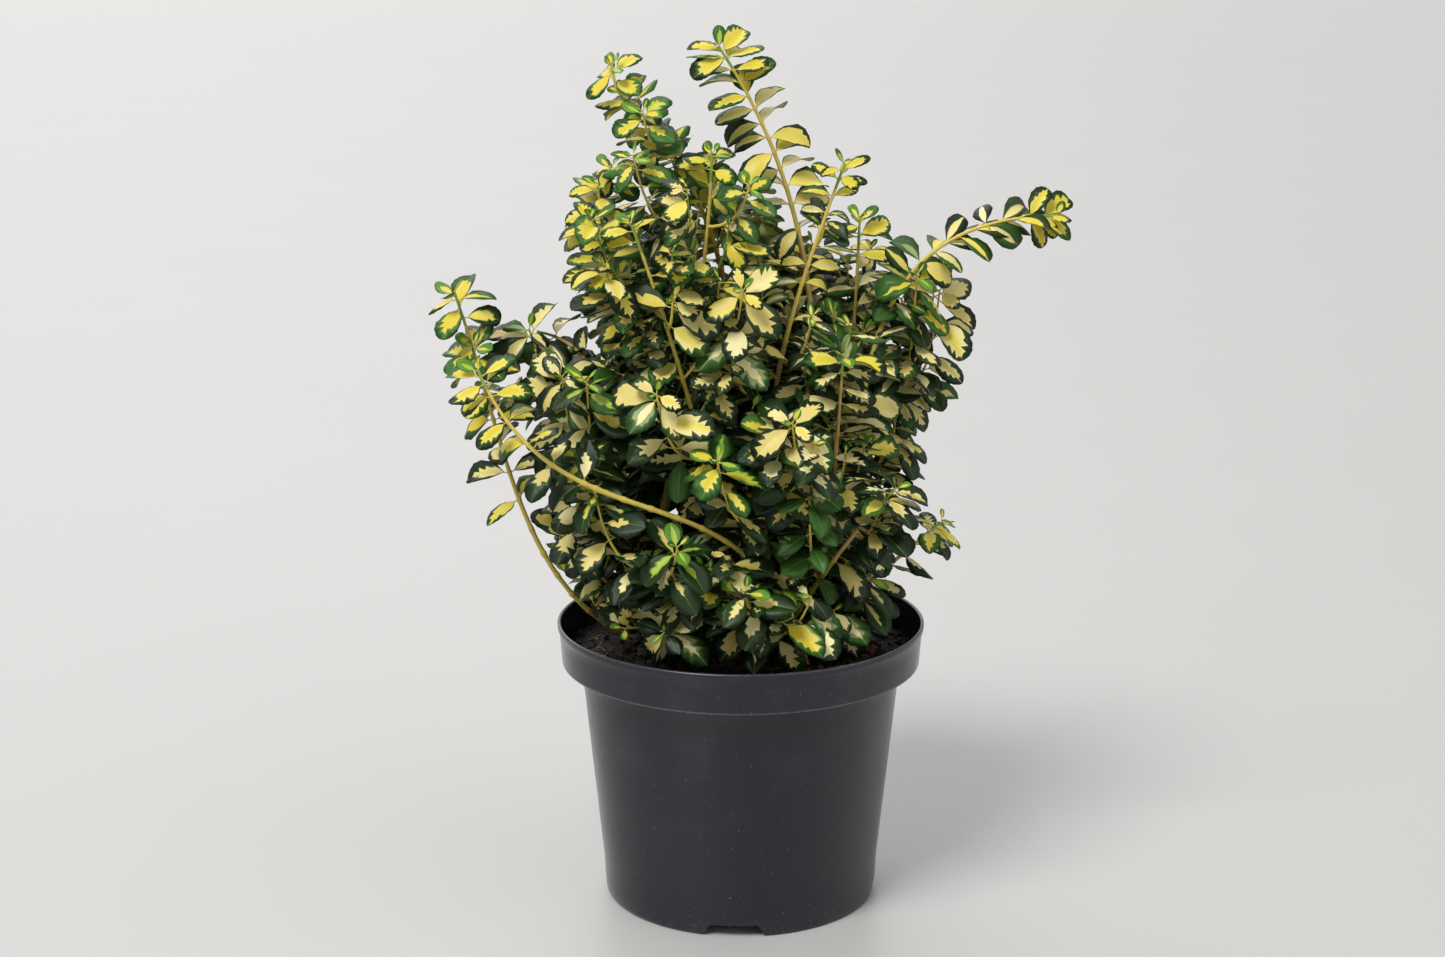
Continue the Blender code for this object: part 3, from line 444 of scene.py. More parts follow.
class StageSettings(bpy.types.PropertyGroup):
    floor: colour("Floor", "Colour of the pale floor", (187, 186, 185))
    surround: colour("Surround", "Colour of the light all round", (206, 206, 206))
    surround_strength: strength("Surround strength", "Strength of the light all round", 0.78)
    key: strength("Key light", "Strength of the main light", 2.45)
    key_way: way("Key way", "The way the main light shines", (0.40, 0.55, -0.92))
    key_softness: angle("Key softness", "Angle that the main light fills", 24)
    fill: strength("Fill light", "Strength of the light from the right", 0.45)
    fill_way: way("Fill way", "The way the light from the right shines", (-0.75, 0.40, -0.55))
    back: strength("Back light", "Strength of the light from behind", 0.90)
    back_way: way("Back way", "The way the light from behind shines", (0.25, -0.75, -0.65))
    fill_softness: angle("Fill softness", "Angle that the weaker lights fill", 60)
    distance: length("Camera distance", "Distance of the camera in front of the pot", 1.412, 0.1, 10.0)
    height: length("Camera height", "Height of the camera over the floor", 0.605, 0.0, 10.0)
    side: length("Camera side", "Sideways place of the camera", -0.0112, -5.0, 5.0)
    tilt: angle("Camera tilt", "How far the camera looks down", CAMERA_TILT)
    lens: FloatProperty(name="Lens", description="Focal length", subtype="DISTANCE_CAMERA", unit="CAMERA",
                        default=59.39, min=10.0, max=300.0)


SETTINGS = {
    "euonymus_pot": PotSettings,
    "euonymus_soil": SoilSettings,
    "euonymus_wood": WoodSettings,
    "euonymus_leaf": LeafSettings,
    "euonymus_stage": StageSettings,
}


# Meshes

def place_object(name, data):
    """A new object, linked to the scene."""
    obj = bpy.data.objects.new(name, data)
    bpy.context.scene.collection.objects.link(obj)
    return obj


def mesh_of(name, bm):
    """A mesh with what the bmesh holds; the bmesh is freed."""
    mesh = bpy.data.meshes.new(name)
    bm.to_mesh(mesh)
    bm.free()
    return mesh


def make_mesh(name, points, quads, materials, tones=None):
    """A smooth object from arrays of points and of four-cornered or three-cornered faces."""
    quads = np.asarray(quads, np.int32)
    corners = quads.shape[1]
    mesh = bpy.data.meshes.new(name)
    mesh.vertices.add(len(points))
    mesh.vertices.foreach_set("co", np.asarray(points, np.float32).ravel())
    mesh.loops.add(quads.size)
    mesh.loops.foreach_set("vertex_index", quads.ravel())
    mesh.polygons.add(len(quads))
    mesh.polygons.foreach_set("loop_start", np.arange(0, quads.size, corners, dtype=np.int32))
    if tones is not None:
        mesh.polygons.foreach_set("material_index", np.asarray(tones, np.int32))
    mesh.update(calc_edges=True)
    mesh.validate()
    for material in materials:
        mesh.materials.append(material)
    mesh.shade_smooth()
    return place_object(name, mesh)


def dress(obj, nodes):
    """The object rides on the body and stands for CAD nodes, which it hides."""
    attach(obj, "root")
    if nodes:
        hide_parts(*nodes)
    return obj


class Batch:
    """Points, four-cornered faces and tone numbers gathered for one mesh."""

    def __init__(self):
        self.points, self.quads, self.tones, self.count = [], [], [], 0

    def add(self, points, quads, tones):
        self.points.append(points)
        self.quads.append(np.asarray(quads, np.int32) + self.count)
        self.tones.append(tones)
        self.count += len(points)

    def build(self, name, materials):
        return make_mesh(name, np.concatenate(self.points), np.concatenate(self.quads), materials,
                         np.concatenate(self.tones))


def plain(name, rgb, roughness, specular=0.5):
    """A plain base colour, for leaves and twigs whose colours are dealt out piece by piece."""
    material = bpy.data.materials.new(name)
    material.use_nodes = True
    shader = material.node_tree.nodes["Principled BSDF"]
    shader.inputs["Base Color"].default_value = (*linear(rgb), 1.0)
    shader.inputs["Roughness"].default_value = roughness
    shader.inputs["Specular IOR Level"].default_value = specular
    return material


class Graph:
    """A short way to write a material's nodes."""

    def __init__(self, name):
        self.material = bpy.data.materials.new(name)
        self.material.use_nodes = True
        self.tree = self.material.node_tree
        self.shader = self.tree.nodes["Principled BSDF"]
        self.place = self.node("ShaderNodeTexCoord").outputs["Object"]

    def node(self, kind, **values):
        node = self.tree.nodes.new(kind)
        for key, value in values.items():
            setattr(node, key, value)
        return node

    def link(self, value, socket):
        if isinstance(value, bpy.types.NodeSocket):
            self.tree.links.new(value, socket)
        elif value is not None:
            socket.default_value = value

    def noise(self, scale, detail=3.0, rough=0.5, stretch=None, seed=0.0):
        place = self.place
        if stretch or seed:
            mapping = self.node("ShaderNodeMapping")
            self.link(place, mapping.inputs["Vector"])
            mapping.inputs["Scale"].default_value = stretch or (1.0, 1.0, 1.0)
            mapping.inputs["Location"].default_value = (seed, seed * 0.7, seed * 1.3)
            place = mapping.outputs["Vector"]
        texture = self.node("ShaderNodeTexNoise")
        self.link(place, texture.inputs["Vector"])
        texture.inputs["Scale"].default_value = scale
        texture.inputs["Detail"].default_value = detail
        texture.inputs["Roughness"].default_value = rough
        return texture.outputs["Fac"]

    def spread(self, value, low, high, to_low=0.0, to_high=1.0):
        node = self.node("ShaderNodeMapRange")
        self.link(value, node.inputs["Value"])
        for key, number in zip(("From Min", "From Max", "To Min", "To Max"), (low, high, to_low, to_high)):
            node.inputs[key].default_value = number
        return node.outputs["Result"]

    def mix(self, factor, a, b):
        node = self.node("ShaderNodeMix", data_type="RGBA")
        self.link(factor, node.inputs["Factor"])
        for value, socket in ((a, node.inputs["A"]), (b, node.inputs["B"])):
            is_colour = isinstance(value, tuple) and len(value) == 3
            self.link((*value, 1.0) if is_colour else value, socket)
        return node.outputs["Result"]

    def maths(self, operation, a, b=None):
        node = self.node("ShaderNodeMath", operation=operation)
        self.link(a, node.inputs[0])
        self.link(b, node.inputs[1])
        return node.outputs["Value"]

    def height(self):
        node = self.node("ShaderNodeSeparateXYZ")
        self.link(self.place, node.inputs["Vector"])
        return node.outputs["Z"]

    def near_height(self, level, reach):
        """One at a height, nought farther from it than reach."""
        off = self.maths("ABSOLUTE", self.maths("SUBTRACT", self.height(), level))
        return self.spread(off, 0.0, reach, 1.0, 0.0)

    def bump(self, value, distance, strength=1.0):
        node = self.node("ShaderNodeBump")
        node.inputs["Distance"].default_value = distance
        node.inputs["Strength"].default_value = strength
        self.link(value, node.inputs["Height"])
        self.link(node.outputs["Normal"], self.shader.inputs["Normal"])

    def finish(self, base, roughness):
        self.link(base, self.shader.inputs["Base Color"])
        self.link(roughness, self.shader.inputs["Roughness"])
        return self.material


# Pot

def between(start, end, shares):
    """Points at these shares of the way from start to end."""
    return [tuple(a + (b - a) * part for a, b in zip(start, end)) for part in shares]


def pot_profile():
    """The pot's wall as (radius, height) pairs, from the middle of its floor round to its pad."""
    band_foot = POT_HEIGHT - BAND_HEIGHT
    step = band_foot + WALL
    inner_base, inner_top, inner_band = BASE_RADIUS - WALL, BODY_TOP_RADIUS - WALL, BAND_FOOT_RADIUS - WALL
    inside = [(0.0, FLOOR_TOP), (inner_base - 0.003, FLOOR_TOP), (inner_base, FLOOR_TOP + 0.003)]
    inside += between((inner_base, FLOOR_TOP), (inner_top, band_foot), [i / 8 for i in range(1, 8)])
    inside += [(inner_top, step - 0.001), (inner_top + 0.001, step),
               (inner_band - 0.001, step + 0.0006), (inner_band, step + 0.0018)]
    inner_bead = (RIM_RADIUS - BEAD_DEPTH - WALL, POT_HEIGHT - 0.006)
    inside += between((inner_band, step), inner_bead, (0.3, 0.6, 1.0))
    middle = (RIM_RADIUS - LIP_RADIUS, POT_HEIGHT - LIP_RADIUS)
    lip = [(middle[0] + LIP_RADIUS * math.cos(turn), middle[1] + LIP_RADIUS * math.sin(turn))
           for turn in (math.pi * (1 - i / 8) for i in range(9))]
    under_bead = (RIM_RADIUS - BEAD_DEPTH, POT_HEIGHT - BEAD_HEIGHT)
    band = [(RIM_RADIUS - 0.0001, POT_HEIGHT - 0.0034), (RIM_RADIUS - 0.0006, POT_HEIGHT - 0.0044)]
    band.append(under_bead)
    band += between(under_bead, (BAND_FOOT_RADIUS, band_foot + 0.0018), (0.3, 0.6, 0.85, 1.0))
    band += [(BAND_FOOT_RADIUS - 0.00005, band_foot + 0.0010),
             (BAND_FOOT_RADIUS - 0.0003, band_foot + 0.0003), (BAND_FOOT_RADIUS - 0.0009, band_foot),
             (BODY_TOP_RADIUS + 0.0022, band_foot - 0.0003), (BODY_TOP_RADIUS + 0.0009, band_foot - 0.0008),
             (BODY_TOP_RADIUS + 0.0001, band_foot - 0.0022)]
    body = between((BODY_TOP_RADIUS, band_foot - 0.0022), (BASE_RADIUS, FOOT_BEAD_TOP),
                   [i / 12 for i in range(1, 12)])
    foot = [(BASE_RADIUS + 0.0007, FOOT_BEAD_TOP), (BASE_RADIUS + 0.0003, 0.0040),
            (BASE_RADIUS - 0.0002, 0.0017), (BASE_RADIUS - 0.0009, 0.0005),
            (BASE_RADIUS - 0.0020, 0.0), (FOOT_RING_INNER, 0.0),
            (FOOT_RING_INNER - 0.0015, CHANNEL_HEIGHT), (PAD_RADIUS + 0.0015, CHANNEL_HEIGHT),
            (PAD_RADIUS, 0.0), (0.0, 0.0)]
    return inside + lip + band + body + foot


def turned_mesh(name, profile, steps):
    """A profile that starts and ends on the axis, turned about Z."""
    bm = bmesh.new()
    rings = []
    for radius, height in profile:
        if radius == 0.0:
            rings.append([bm.verts.new((0.0, 0.0, height))])
            continue
        rings.append([bm.verts.new((radius * math.cos(a), radius * math.sin(a), height))
                      for a in (i * math.tau / steps for i in range(steps))])
    for lower, upper in zip(rings, rings[1:]):
        for i in range(steps):
            ends = [(lower, i), (lower, i + 1), (upper, i + 1), (upper, i)]
            corners = [ring[j % steps % len(ring)] for ring, j in ends]
            bm.faces.new(list(dict.fromkeys(corners)))
    bmesh.ops.recalc_face_normals(bm, faces=bm.faces)
    return mesh_of(name, bm)


def notch_cutter(number):
    """A block, narrower at the top, that lies across the foot ring at one of the notches."""
    bm = bmesh.new()
    bmesh.ops.create_cube(bm, size=1.0)
    for vert in bm.verts:
        vert.co.x *= NOTCH_TOP_WIDTH if vert.co.z > 0 else NOTCH_WIDTH
        vert.co.y *= BASE_RADIUS - FOOT_RING_INNER + NOTCH_OVERCUT
        vert.co.z *= 2 * NOTCH_HEIGHT
    cutter = place_object("notch", mesh_of("notch", bm))
    turn = NOTCH_TURN + number * math.tau / NOTCH_COUNT
    reach = (BASE_RADIUS + FOOT_RING_INNER) / 2
    cutter.matrix_world = Matrix.Rotation(turn, 4, "Z") @ Matrix.Translation((0.0, -reach, 0.0))
    return cutter


def cut_notches(pot):
    """The drain notches, cut across the foot ring."""
    cutters = [notch_cutter(number) for number in range(NOTCH_COUNT)]
    for cutter in cutters:
        modifier = pot.modifiers.new("notch", "BOOLEAN")
        modifier.operation = "DIFFERENCE"
        modifier.solver = "EXACT"
        modifier.object = cutter
    graph = bpy.context.evaluated_depsgraph_get()
    graph.update()
    mesh = bpy.data.meshes.new_from_object(pot.evaluated_get(graph))
    pot.modifiers.clear()
    pot.data = mesh
    for cutter in cutters:
        bpy.data.objects.remove(cutter, do_unlink=True)


def pot_material(settings):
    """Black moulded plastic: smudges in its gloss, dusty haze and specks, pale scuffed edges, and painted top
    light that makes the body lighter toward the band.
    """
    g = Graph("nursery_pot_plastic")
    band_foot = POT_HEIGHT - BAND_HEIGHT
    smudge = g.noise(22.0, 5.0, 0.55)
    streaks = g.noise(60.0, 4.0, 0.6, (1.0, 1.0, 0.16), 3.0)
    specks = g.spread(g.noise(900.0, 1.0, 0.4, None, 7.0), 0.775, 0.81)
    cloud = g.spread(g.noise(34.0, 4.0, 0.6, None, 11.0), 0.52, 0.80)
    grain = g.noise(420.0, 3.0, 0.6, None, 2.0)
    lip = g.maths("MULTIPLY", g.near_height(POT_HEIGHT - 0.0002, 0.0010), 0.12)
    edge = g.maths("MULTIPLY", g.near_height(band_foot + 0.0004, 0.0011), 0.30)
    worn = g.maths("MULTIPLY", g.maths("MAXIMUM", lip, edge), g.spread(grain, 0.25, 0.62, 0.35, 1.0))
    foot = g.maths("MULTIPLY", g.spread(g.height(), 0.0, 0.014, 1.0, 0.0), g.spread(grain, 0.52, 0.75))
    # Painted top light: a patchy haze, faint at the foot and stronger up to the band, that lightens the upper
    # body as light falling from above would.
    haze_and_top_light = g.maths("MULTIPLY", cloud, g.spread(g.height(), 0.0, band_foot, 0.006, 0.036))
    dust_and_top_light = g.maths("MAXIMUM", worn, g.maths("MULTIPLY", foot, 0.10))
    dust_and_top_light = g.maths("MAXIMUM", dust_and_top_light, g.maths("MULTIPLY", specks, 0.50))
    # From here on the mask holds the dusty marks together with the painted top light.
    dust_and_top_light = g.maths("ADD", dust_and_top_light, haze_and_top_light)
    base = g.mix(dust_and_top_light, tuple(settings.plastic), tuple(settings.dust_and_top_light))
    dull = g.maths("ADD", g.spread(smudge, 0.3, 0.75, settings.roughness - 0.05, settings.roughness + 0.13),
                   g.maths("MULTIPLY", dust_and_top_light, 0.45))
    g.bump(g.maths("ADD", g.maths("MULTIPLY", streaks, 0.6), g.maths("MULTIPLY", grain, 0.4)), 0.00006, 0.5)
    return g.finish(base, dull)


def keep_edges_sharp(mesh):
    """Smooth shading that breaks at the corners of the rim, the foot and the notches."""
    mesh.shade_smooth()
    bm = bmesh.new()
    bm.from_mesh(mesh)
    for edge in bm.edges:
        if len(edge.link_faces) == 2 and edge.calc_face_angle(0.0) > SHARP_CORNER:
            edge.smooth = False
    bm.to_mesh(mesh)
    bm.free()


class EUONYMUS_OT_pot(bpy.types.Operator):
    """Builds the round nursery pot with its rim band, foot ring and drain notches"""
    bl_idname = "euonymus.build_pot"
    bl_label = "Build the pot"

    def execute(self, context):
        settings = context.scene.euonymus_pot
        pot = place_object("pot_shell", turned_mesh("pot_shell", pot_profile(), settings.turn_steps))
        cut_notches(pot)
        pot.data.materials.clear()
        pot.data.materials.append(pot_material(settings))
        keep_edges_sharp(pot.data)
        dress(pot, ["nursery_pot"])
        return {"FINISHED"}


# Soil

def soil_height(x, y):
    """Height of the soil's rough surface, lower at the wall and drawn up a little to the stems."""
    place = Vector((x, y, 0.0))
    rough = sum(noise.noise(place * scale + Vector(start)) * height for scale, height, start in SOIL_LUMPS)
    edge = max(0.0, math.hypot(x, y) - 0.075) / 0.035
    mound = sum(math.exp(-((x - s.foot[0]) ** 2 + (y - s.foot[1]) ** 2) / 0.00018) for s in STEMS.values())
    return SOIL_TOP + 0.0006 + rough - 0.0040 * edge ** 2 + 0.0014 * mound


def soil_surface(material):
    """The top of the soil as a fine polar grid, turned down inside the wall at its edge."""
    rings, steps = 62, 200
    points = [(0.0, 0.0, soil_height(0.0, 0.0))]
    for i in range(1, rings + 1):
        radius = SOIL_RADIUS * i / rings
        for j in range(steps):
            turn = j * math.tau / steps
            x, y = radius * math.cos(turn), radius * math.sin(turn)
            points.append((x, y, soil_height(x, y)))
    for j in range(steps):
        x, y, _ = points[1 + (rings - 1) * steps + j]
        points.append((x, y, SOIL_TOP - SOIL_SKIRT))
    quads = []
    for i in range(rings):
        for j in range(steps):
            a = 1 + i * steps + j
            b = 1 + i * steps + (j + 1) % steps
            quads.append((a, a + steps, b + steps, b))
    quads += [(0, 1 + j, 1 + (j + 1) % steps, 0) for j in range(steps)]
    faces = [tuple(dict.fromkeys(quad)) for quad in quads]
    mesh = bpy.data.meshes.new("soil_surface")
    mesh.from_pydata(points, [], faces)
    mesh.validate()
    mesh.materials.append(material)
    mesh.shade_smooth()
    return place_object("soil_surface", mesh)


def crumb_shape():
    bm = bmesh.new()
    bmesh.ops.create_icosphere(bm, subdivisions=2, radius=1.0)
    points = np.array([v.co for v in bm.verts])
    faces = np.array([[v.index for v in f.verts] for f in bm.faces])
    bm.free()
    return points, faces


def random_turn(rng):
    """A random rotation as a three by three array."""
    axis = Vector([rng.gauss(0, 1) for _ in range(3)]).normalized()
    return np.array(Matrix.Rotation(rng.uniform(0, math.tau), 3, axis))


def soil_place(rng):
    radius = (SOIL_RADIUS - 0.003) * math.sqrt(rng.random())
    turn = rng.uniform(0, math.tau)
    x, y = radius * math.cos(turn), radius * math.sin(turn)
    return x, y, soil_height(x, y)


def scatter_crumbs(name, count, sizes, flat, seed, material):
    """Many small lumps lying half sunk in the soil, as one mesh of three-cornered faces."""
    rng = random.Random(seed)
    shape, faces = crumb_shape()
    points, all_faces = [], []
    for number in range(count):
        x, y, z = soil_place(rng)
        size = sizes[0] * (sizes[1] / sizes[0]) ** (rng.random() ** 2)
        bumps = np.array([noise.noise(Vector(p) * 1.3 + Vector((number * 3.1, 0, 0))) for p in shape])
        lump = shape * (1.0 + 0.55 * bumps)[:, None]
        lump = lump * np.array([size, size * rng.uniform(0.55, 1.0), size * rng.uniform(flat * 0.6, flat)])
        lump = lump @ random_turn(rng).T
        points.append(lump + np.array([x, y, z + size * 0.22]))
        all_faces.append(faces + number * len(shape))
    return make_mesh(name, np.concatenate(points), np.concatenate(all_faces), [material])


def tube_mesh(path, radii, sides):
    """Rings of points along a path and the four-cornered faces between them."""
    path = np.asarray(path, float)
    tangents = np.gradient(path, axis=0)
    tangents /= np.linalg.norm(tangents, axis=1)[:, None] + 1e-12
    side = np.cross(tangents[0], (0.21, 0.13, 0.97))
    if np.linalg.norm(side) < 0.2:
        side = np.cross(tangents[0], (0.95, 0.2, 0.1))
    carried = []
    for tangent in tangents:
        side = side - tangent * side.dot(tangent)
        side /= np.linalg.norm(side)
        carried.append(side)
    across = np.array(carried)
    other = np.cross(tangents, across)
    turn = np.arange(sides) * math.tau / sides
    radii = np.asarray(radii, float)
    if radii.ndim == 1:
        radii = np.repeat(radii[:, None], sides, axis=1)
    ring = across[:, None, :] * np.cos(turn)[None, :, None] + other[:, None, :] * np.sin(turn)[None, :, None]
    points = path[:, None, :] + ring * radii[:, :, None]
    rows = len(path)
    i, j = np.meshgrid(np.arange(rows - 1), np.arange(sides), indexing="ij")
    a = i * sides + j
    b = i * sides + (j + 1) % sides
    quads = np.stack([a, b, b + sides, a + sides], axis=-1).reshape(-1, 4)
    return points.reshape(-1, 3), quads


def scatter_fibres(name, count, lengths, radius, seed, material):
    """Thin curved fibres lying on the soil."""
    rng = random.Random(seed)
    batch = Batch()
    for _ in range(count):
        x, y, z = soil_place(rng)
        size = rng.uniform(*lengths)
        heading = rng.uniform(0, math.tau)
        bend = rng.uniform(-1.6, 1.6)
        path = []
        for k in range(7):
            step = k / 6
            angle = heading + bend * step
            path.append((x, y, soil_height(x, y) + 0.0008 + 0.0022 * math.sin(step * math.pi) * rng.random()))
            x += math.cos(angle) * size / 6
            y += math.sin(angle) * size / 6
            if math.hypot(x, y) > SOIL_RADIUS - 0.002:
                break
        if len(path) < 3:
            continue
        thin = [radius * (1.0 - 0.6 * k / (len(path) - 1)) for k in range(len(path))]
        points, quads = tube_mesh(path, thin, 3)
        batch.add(points, quads, np.zeros(len(quads), int))
    return batch.build(name, [material])


def soil_material(settings):
    g = Graph("damp_soil")
    patches = g.spread(g.noise(90.0, 6.0, 0.65), 0.30, 0.72)
    flecks = g.spread(g.noise(520.0, 3.0, 0.6, None, 4.0), 0.60, 0.72)
    dark = tuple(c * 0.35 for c in settings.earth)
    base = g.mix(patches, dark, tuple(settings.earth))
    base = g.mix(g.maths("MULTIPLY", flecks, 0.45), base, tuple(settings.fibre))
    g.bump(g.noise(700.0, 5.0, 0.7), 0.0012)
    return g.finish(base, g.spread(patches, 0.0, 1.0, 0.80, 0.98))


def litter_material(name, rgb, shade, scale, roughness):
    """A small speckled material for crumbs, fibres, moss and grit."""
    g = Graph(name)
    tone = g.spread(g.noise(scale, 4.0, 0.6), 0.32, 0.68)
    base = g.mix(tone, tuple(c * shade for c in rgb), tuple(rgb))
    g.bump(g.noise(scale * 3, 3.0, 0.6), 0.0004)
    return g.finish(base, roughness)


class EUONYMUS_OT_soil(bpy.types.Operator):
    """Builds the rough potting soil with its crumbs, fibres, fine roots, moss and grit"""
    bl_idname = "euonymus.build_soil"
    bl_label = "Build the soil"

    def execute(self, context):
        settings = context.scene.euonymus_soil
        seed = settings.seed
        surface = soil_surface(soil_material(settings))
        dress(surface, ["soil"])
        dark = litter_material("soil_crumb", tuple(settings.earth), 0.35, 260.0, 0.9)
        brown = litter_material("soil_fibre", tuple(settings.fibre), 0.4, 400.0, 0.85)
        pale = litter_material("soil_root", tuple(settings.root), 0.6, 300.0, 0.7)
        green = litter_material("soil_moss", tuple(settings.moss), 0.35, 600.0, 0.9)
        grit = litter_material("soil_grit", tuple(settings.grit), 0.7, 300.0, 0.8)
        made = [
            scatter_crumbs("soil_crumbs", settings.crumbs, (0.0009, 0.0042), 0.8, seed, dark),
            scatter_crumbs("soil_bark_bits", settings.bark_bits, (0.0012, 0.0046), 0.35, seed + 1, brown),
            scatter_crumbs("soil_moss_specks", settings.moss_specks, (0.0006, 0.0019), 0.9, seed + 2, green),
            scatter_crumbs("soil_grit_bits", settings.grit_bits, (0.0005, 0.0013), 0.8, seed + 3, grit),
            scatter_fibres("soil_fibres", settings.fibres, (0.007, 0.022), 0.00022, seed + 4, brown),
            scatter_fibres("soil_fine_roots", settings.fine_roots, (0.010, 0.030), 0.00024, seed + 5, pale),
        ]
        for obj in made:
            dress(obj, [])
        return {"FINISHED"}


# Shoots

def stem_point(stem, part):
    return Vector((*stem.foot, SOIL_TOP)).lerp(Vector(stem.top), part)


def shoot_curve(shoot):
    """Points of a shoot's whole cubic curve, from its start to its tip."""
    if shoot.start[0] == "soil":
        start = Vector((shoot.start[1], shoot.start[2], SOIL_TOP))
    else:
        start = stem_point(STEMS[shoot.start[0]], shoot.start[1])
    tip = Vector(shoot.tip)
    return interpolate_bezier(start, start + Vector(shoot.leave), tip - Vector(shoot.arrive), tip, 200)


class Path:
    """A polyline that can be asked for the point and heading at a distance along it."""

    def __init__(self, points):
        self.points = np.array([tuple(p) for p in points], float)
        steps = np.linalg.norm(np.diff(self.points, axis=0), axis=1)
        self.along = np.concatenate([[0.0], np.cumsum(steps)])
        self.total = float(self.along[-1])

    def at(self, distance):
        return Vector([np.interp(distance, self.along, self.points[:, k]) for k in range(3)])

    def heading(self, distance):
        return (self.at(distance + 0.0015) - self.at(distance - 0.0015)).normalized()

    def stretch(self, start, end, step):
        count = max(2, int(round((end - start) / step)) + 1)
        wanted = np.linspace(start, end, count)
        points = np.stack([np.interp(wanted, self.along, self.points[:, k]) for k in range(3)], axis=1)
        return points, wanted


PATHS = {shoot.name: Path(shoot_curve(shoot)) for shoot in SHOOTS}


def bark_material(name, young, shade, scale, roughness, relief):
    """Bark with long pale and dark streaks, pores and a fine relief."""
    g = Graph(name)
    streaks = g.spread(g.noise(scale, 5.0, 0.6, (1.0, 1.0, 0.25)), 0.30, 0.70)
    pores = g.spread(g.noise(scale * 5, 2.0, 0.5, None, 3.0), 0.66, 0.74)
    base = g.mix(streaks, tuple(c * shade for c in young), tuple(young))
    base = g.mix(g.maths("MULTIPLY", pores, 0.55), base, tuple(c * 0.35 for c in young))
    g.bump(g.noise(scale * 3, 4.0, 0.6, (1.0, 1.0, 0.3), 5.0), relief)
    return g.finish(base, roughness)


def woody_stem(stem, relief, batch):
    """One woody stem with its flared foot, ridges and knots."""
    foot, top = stem_point(stem, 0.0), Vector(stem.top)
    axis = (top - foot).normalized()
    height = (top - foot).length
    rows, sides = 58, 18
    path, radii = [], []
    for i in range(rows):
        reach = -0.006 + (height + 0.006) * i / (rows - 1)
        path.append(foot + axis * reach)
        plain_radius = stem.radius * (1.0 - (1.0 - STEM_TIP_SHARE) * max(reach, 0.0) / height)
        plain_radius *= 1.0 + FLARE * math.exp(-max(reach, 0.0) / FLARE_LENGTH)
        ring = []
        for j in range(sides):
            turn = j * math.tau / sides
            place = Vector((math.cos(turn) * 2.2, math.sin(turn) * 2.2, reach * 55.0 + foot.x * 50))
            knots = noise.noise(Vector((math.cos(turn), math.sin(turn), reach * 120.0 + foot.x * 90)))
            ring.append(plain_radius + relief * (1.4 * noise.noise(place * 1.7) + 0.9 * max(0.0, knots)))
        radii.append(ring)
    points, quads = tube_mesh(path, radii, sides)
    batch.add(points, quads, np.zeros(len(quads), int))
    edge = points[-sides:]
    lid = np.concatenate([edge, [edge.mean(axis=0) + np.array(axis) * 0.0008]])
    batch.add(lid, [(j, (j + 1) % sides, sides, sides) for j in range(sides)], np.zeros(sides, int))


def bough_radii(shoot, wanted, total, spacing, sides, relief):
    """Radii of a shoot's bare stretch, with swollen nodes, leaf scars and a fine relief."""
    split = total * shoot.bare
    foot = ARCH_RADII.get(shoot.name, BOUGH_FOOT_RADIUS)
    if shoot.start[0] != "soil" and shoot.start[1] == 1.0:
        foot = STEMS[shoot.start[0]].radius * STEM_TIP_SHARE * 0.9
    rows = []
    for distance in wanted:
        part = clamp(distance / split)
        radius = foot + (BOUGH_TIP_RADIUS - foot) * part ** 0.5
        off = (distance % spacing) - spacing / 2
        swell = 0.24 * math.exp(-(off / 0.0016) ** 2)
        turn = int(distance / spacing) * math.pi / 2
        ring = []
        for j in range(sides):
            angle = j * math.tau / sides
            scar = max(0.0, math.cos(2 * (angle - turn))) * math.exp(-((off - 0.0006) / 0.0011) ** 2) * 0.20
            place = Vector((math.cos(angle) * 1.5, math.sin(angle) * 1.5, distance * 90.0 + radius * 900))
            ring.append(radius * (1.0 + swell + scar) + noise.noise(place) * relief * 0.35)
        rows.append(ring)
    return rows


def add_bough(shoot, settings, batch):
    """A shoot's bare stretch; one that rises from the soil starts a little under it."""
    path = PATHS[shoot.name]
    points, wanted = path.stretch(0.0, path.total * shoot.bare, BOUGH_STEP)
    if shoot.start[0] == "soil":
        below = points[0] + (points[0] - points[3]) * 1.2
        points = np.concatenate([[below], points])
        wanted = np.concatenate([[0.0], wanted])
    radii = bough_radii(shoot, wanted, path.total, settings.node_spacing, BOUGH_SIDES, settings.relief)
    tube, quads = tube_mesh(points, radii, BOUGH_SIDES)
    batch.add(tube, quads, np.full(len(quads), int(shoot.name in YELLOW_BOUGHS)))


class EUONYMUS_OT_wood(bpy.types.Operator):
    """Builds the woody stems and the boughs with the relief of their bark"""
    bl_idname = "euonymus.build_wood"
    bl_label = "Build stems and boughs"

    def execute(self, context):
        settings = context.scene.euonymus_wood
        old = bark_material("old_bark", tuple(settings.old_bark), 0.45, 120.0, 0.8, 0.0006)
        young = bark_material("young_bark", tuple(settings.young_bark), 0.72, 160.0, 0.62, 0.0002)
        arch = bark_material("arch_bark", tuple(settings.arch_bark), 0.80, 160.0, 0.5, 0.00015)
        batch = Batch()
        for stem in STEMS.values():
            woody_stem(stem, settings.relief, batch)
        dress(batch.build("woody_stems", [old]), list(STEMS))
        for group, names in GROUPS.items():
            batch = Batch()
            for shoot in SHOOTS:
                if shoot.name in names:
                    add_bough(shoot, settings, batch)
            dress(batch.build(f"boughs_{group}", [young, arch]), [f"{name}_bough" for name in names])
        return {"FINISHED"}


# Foliage

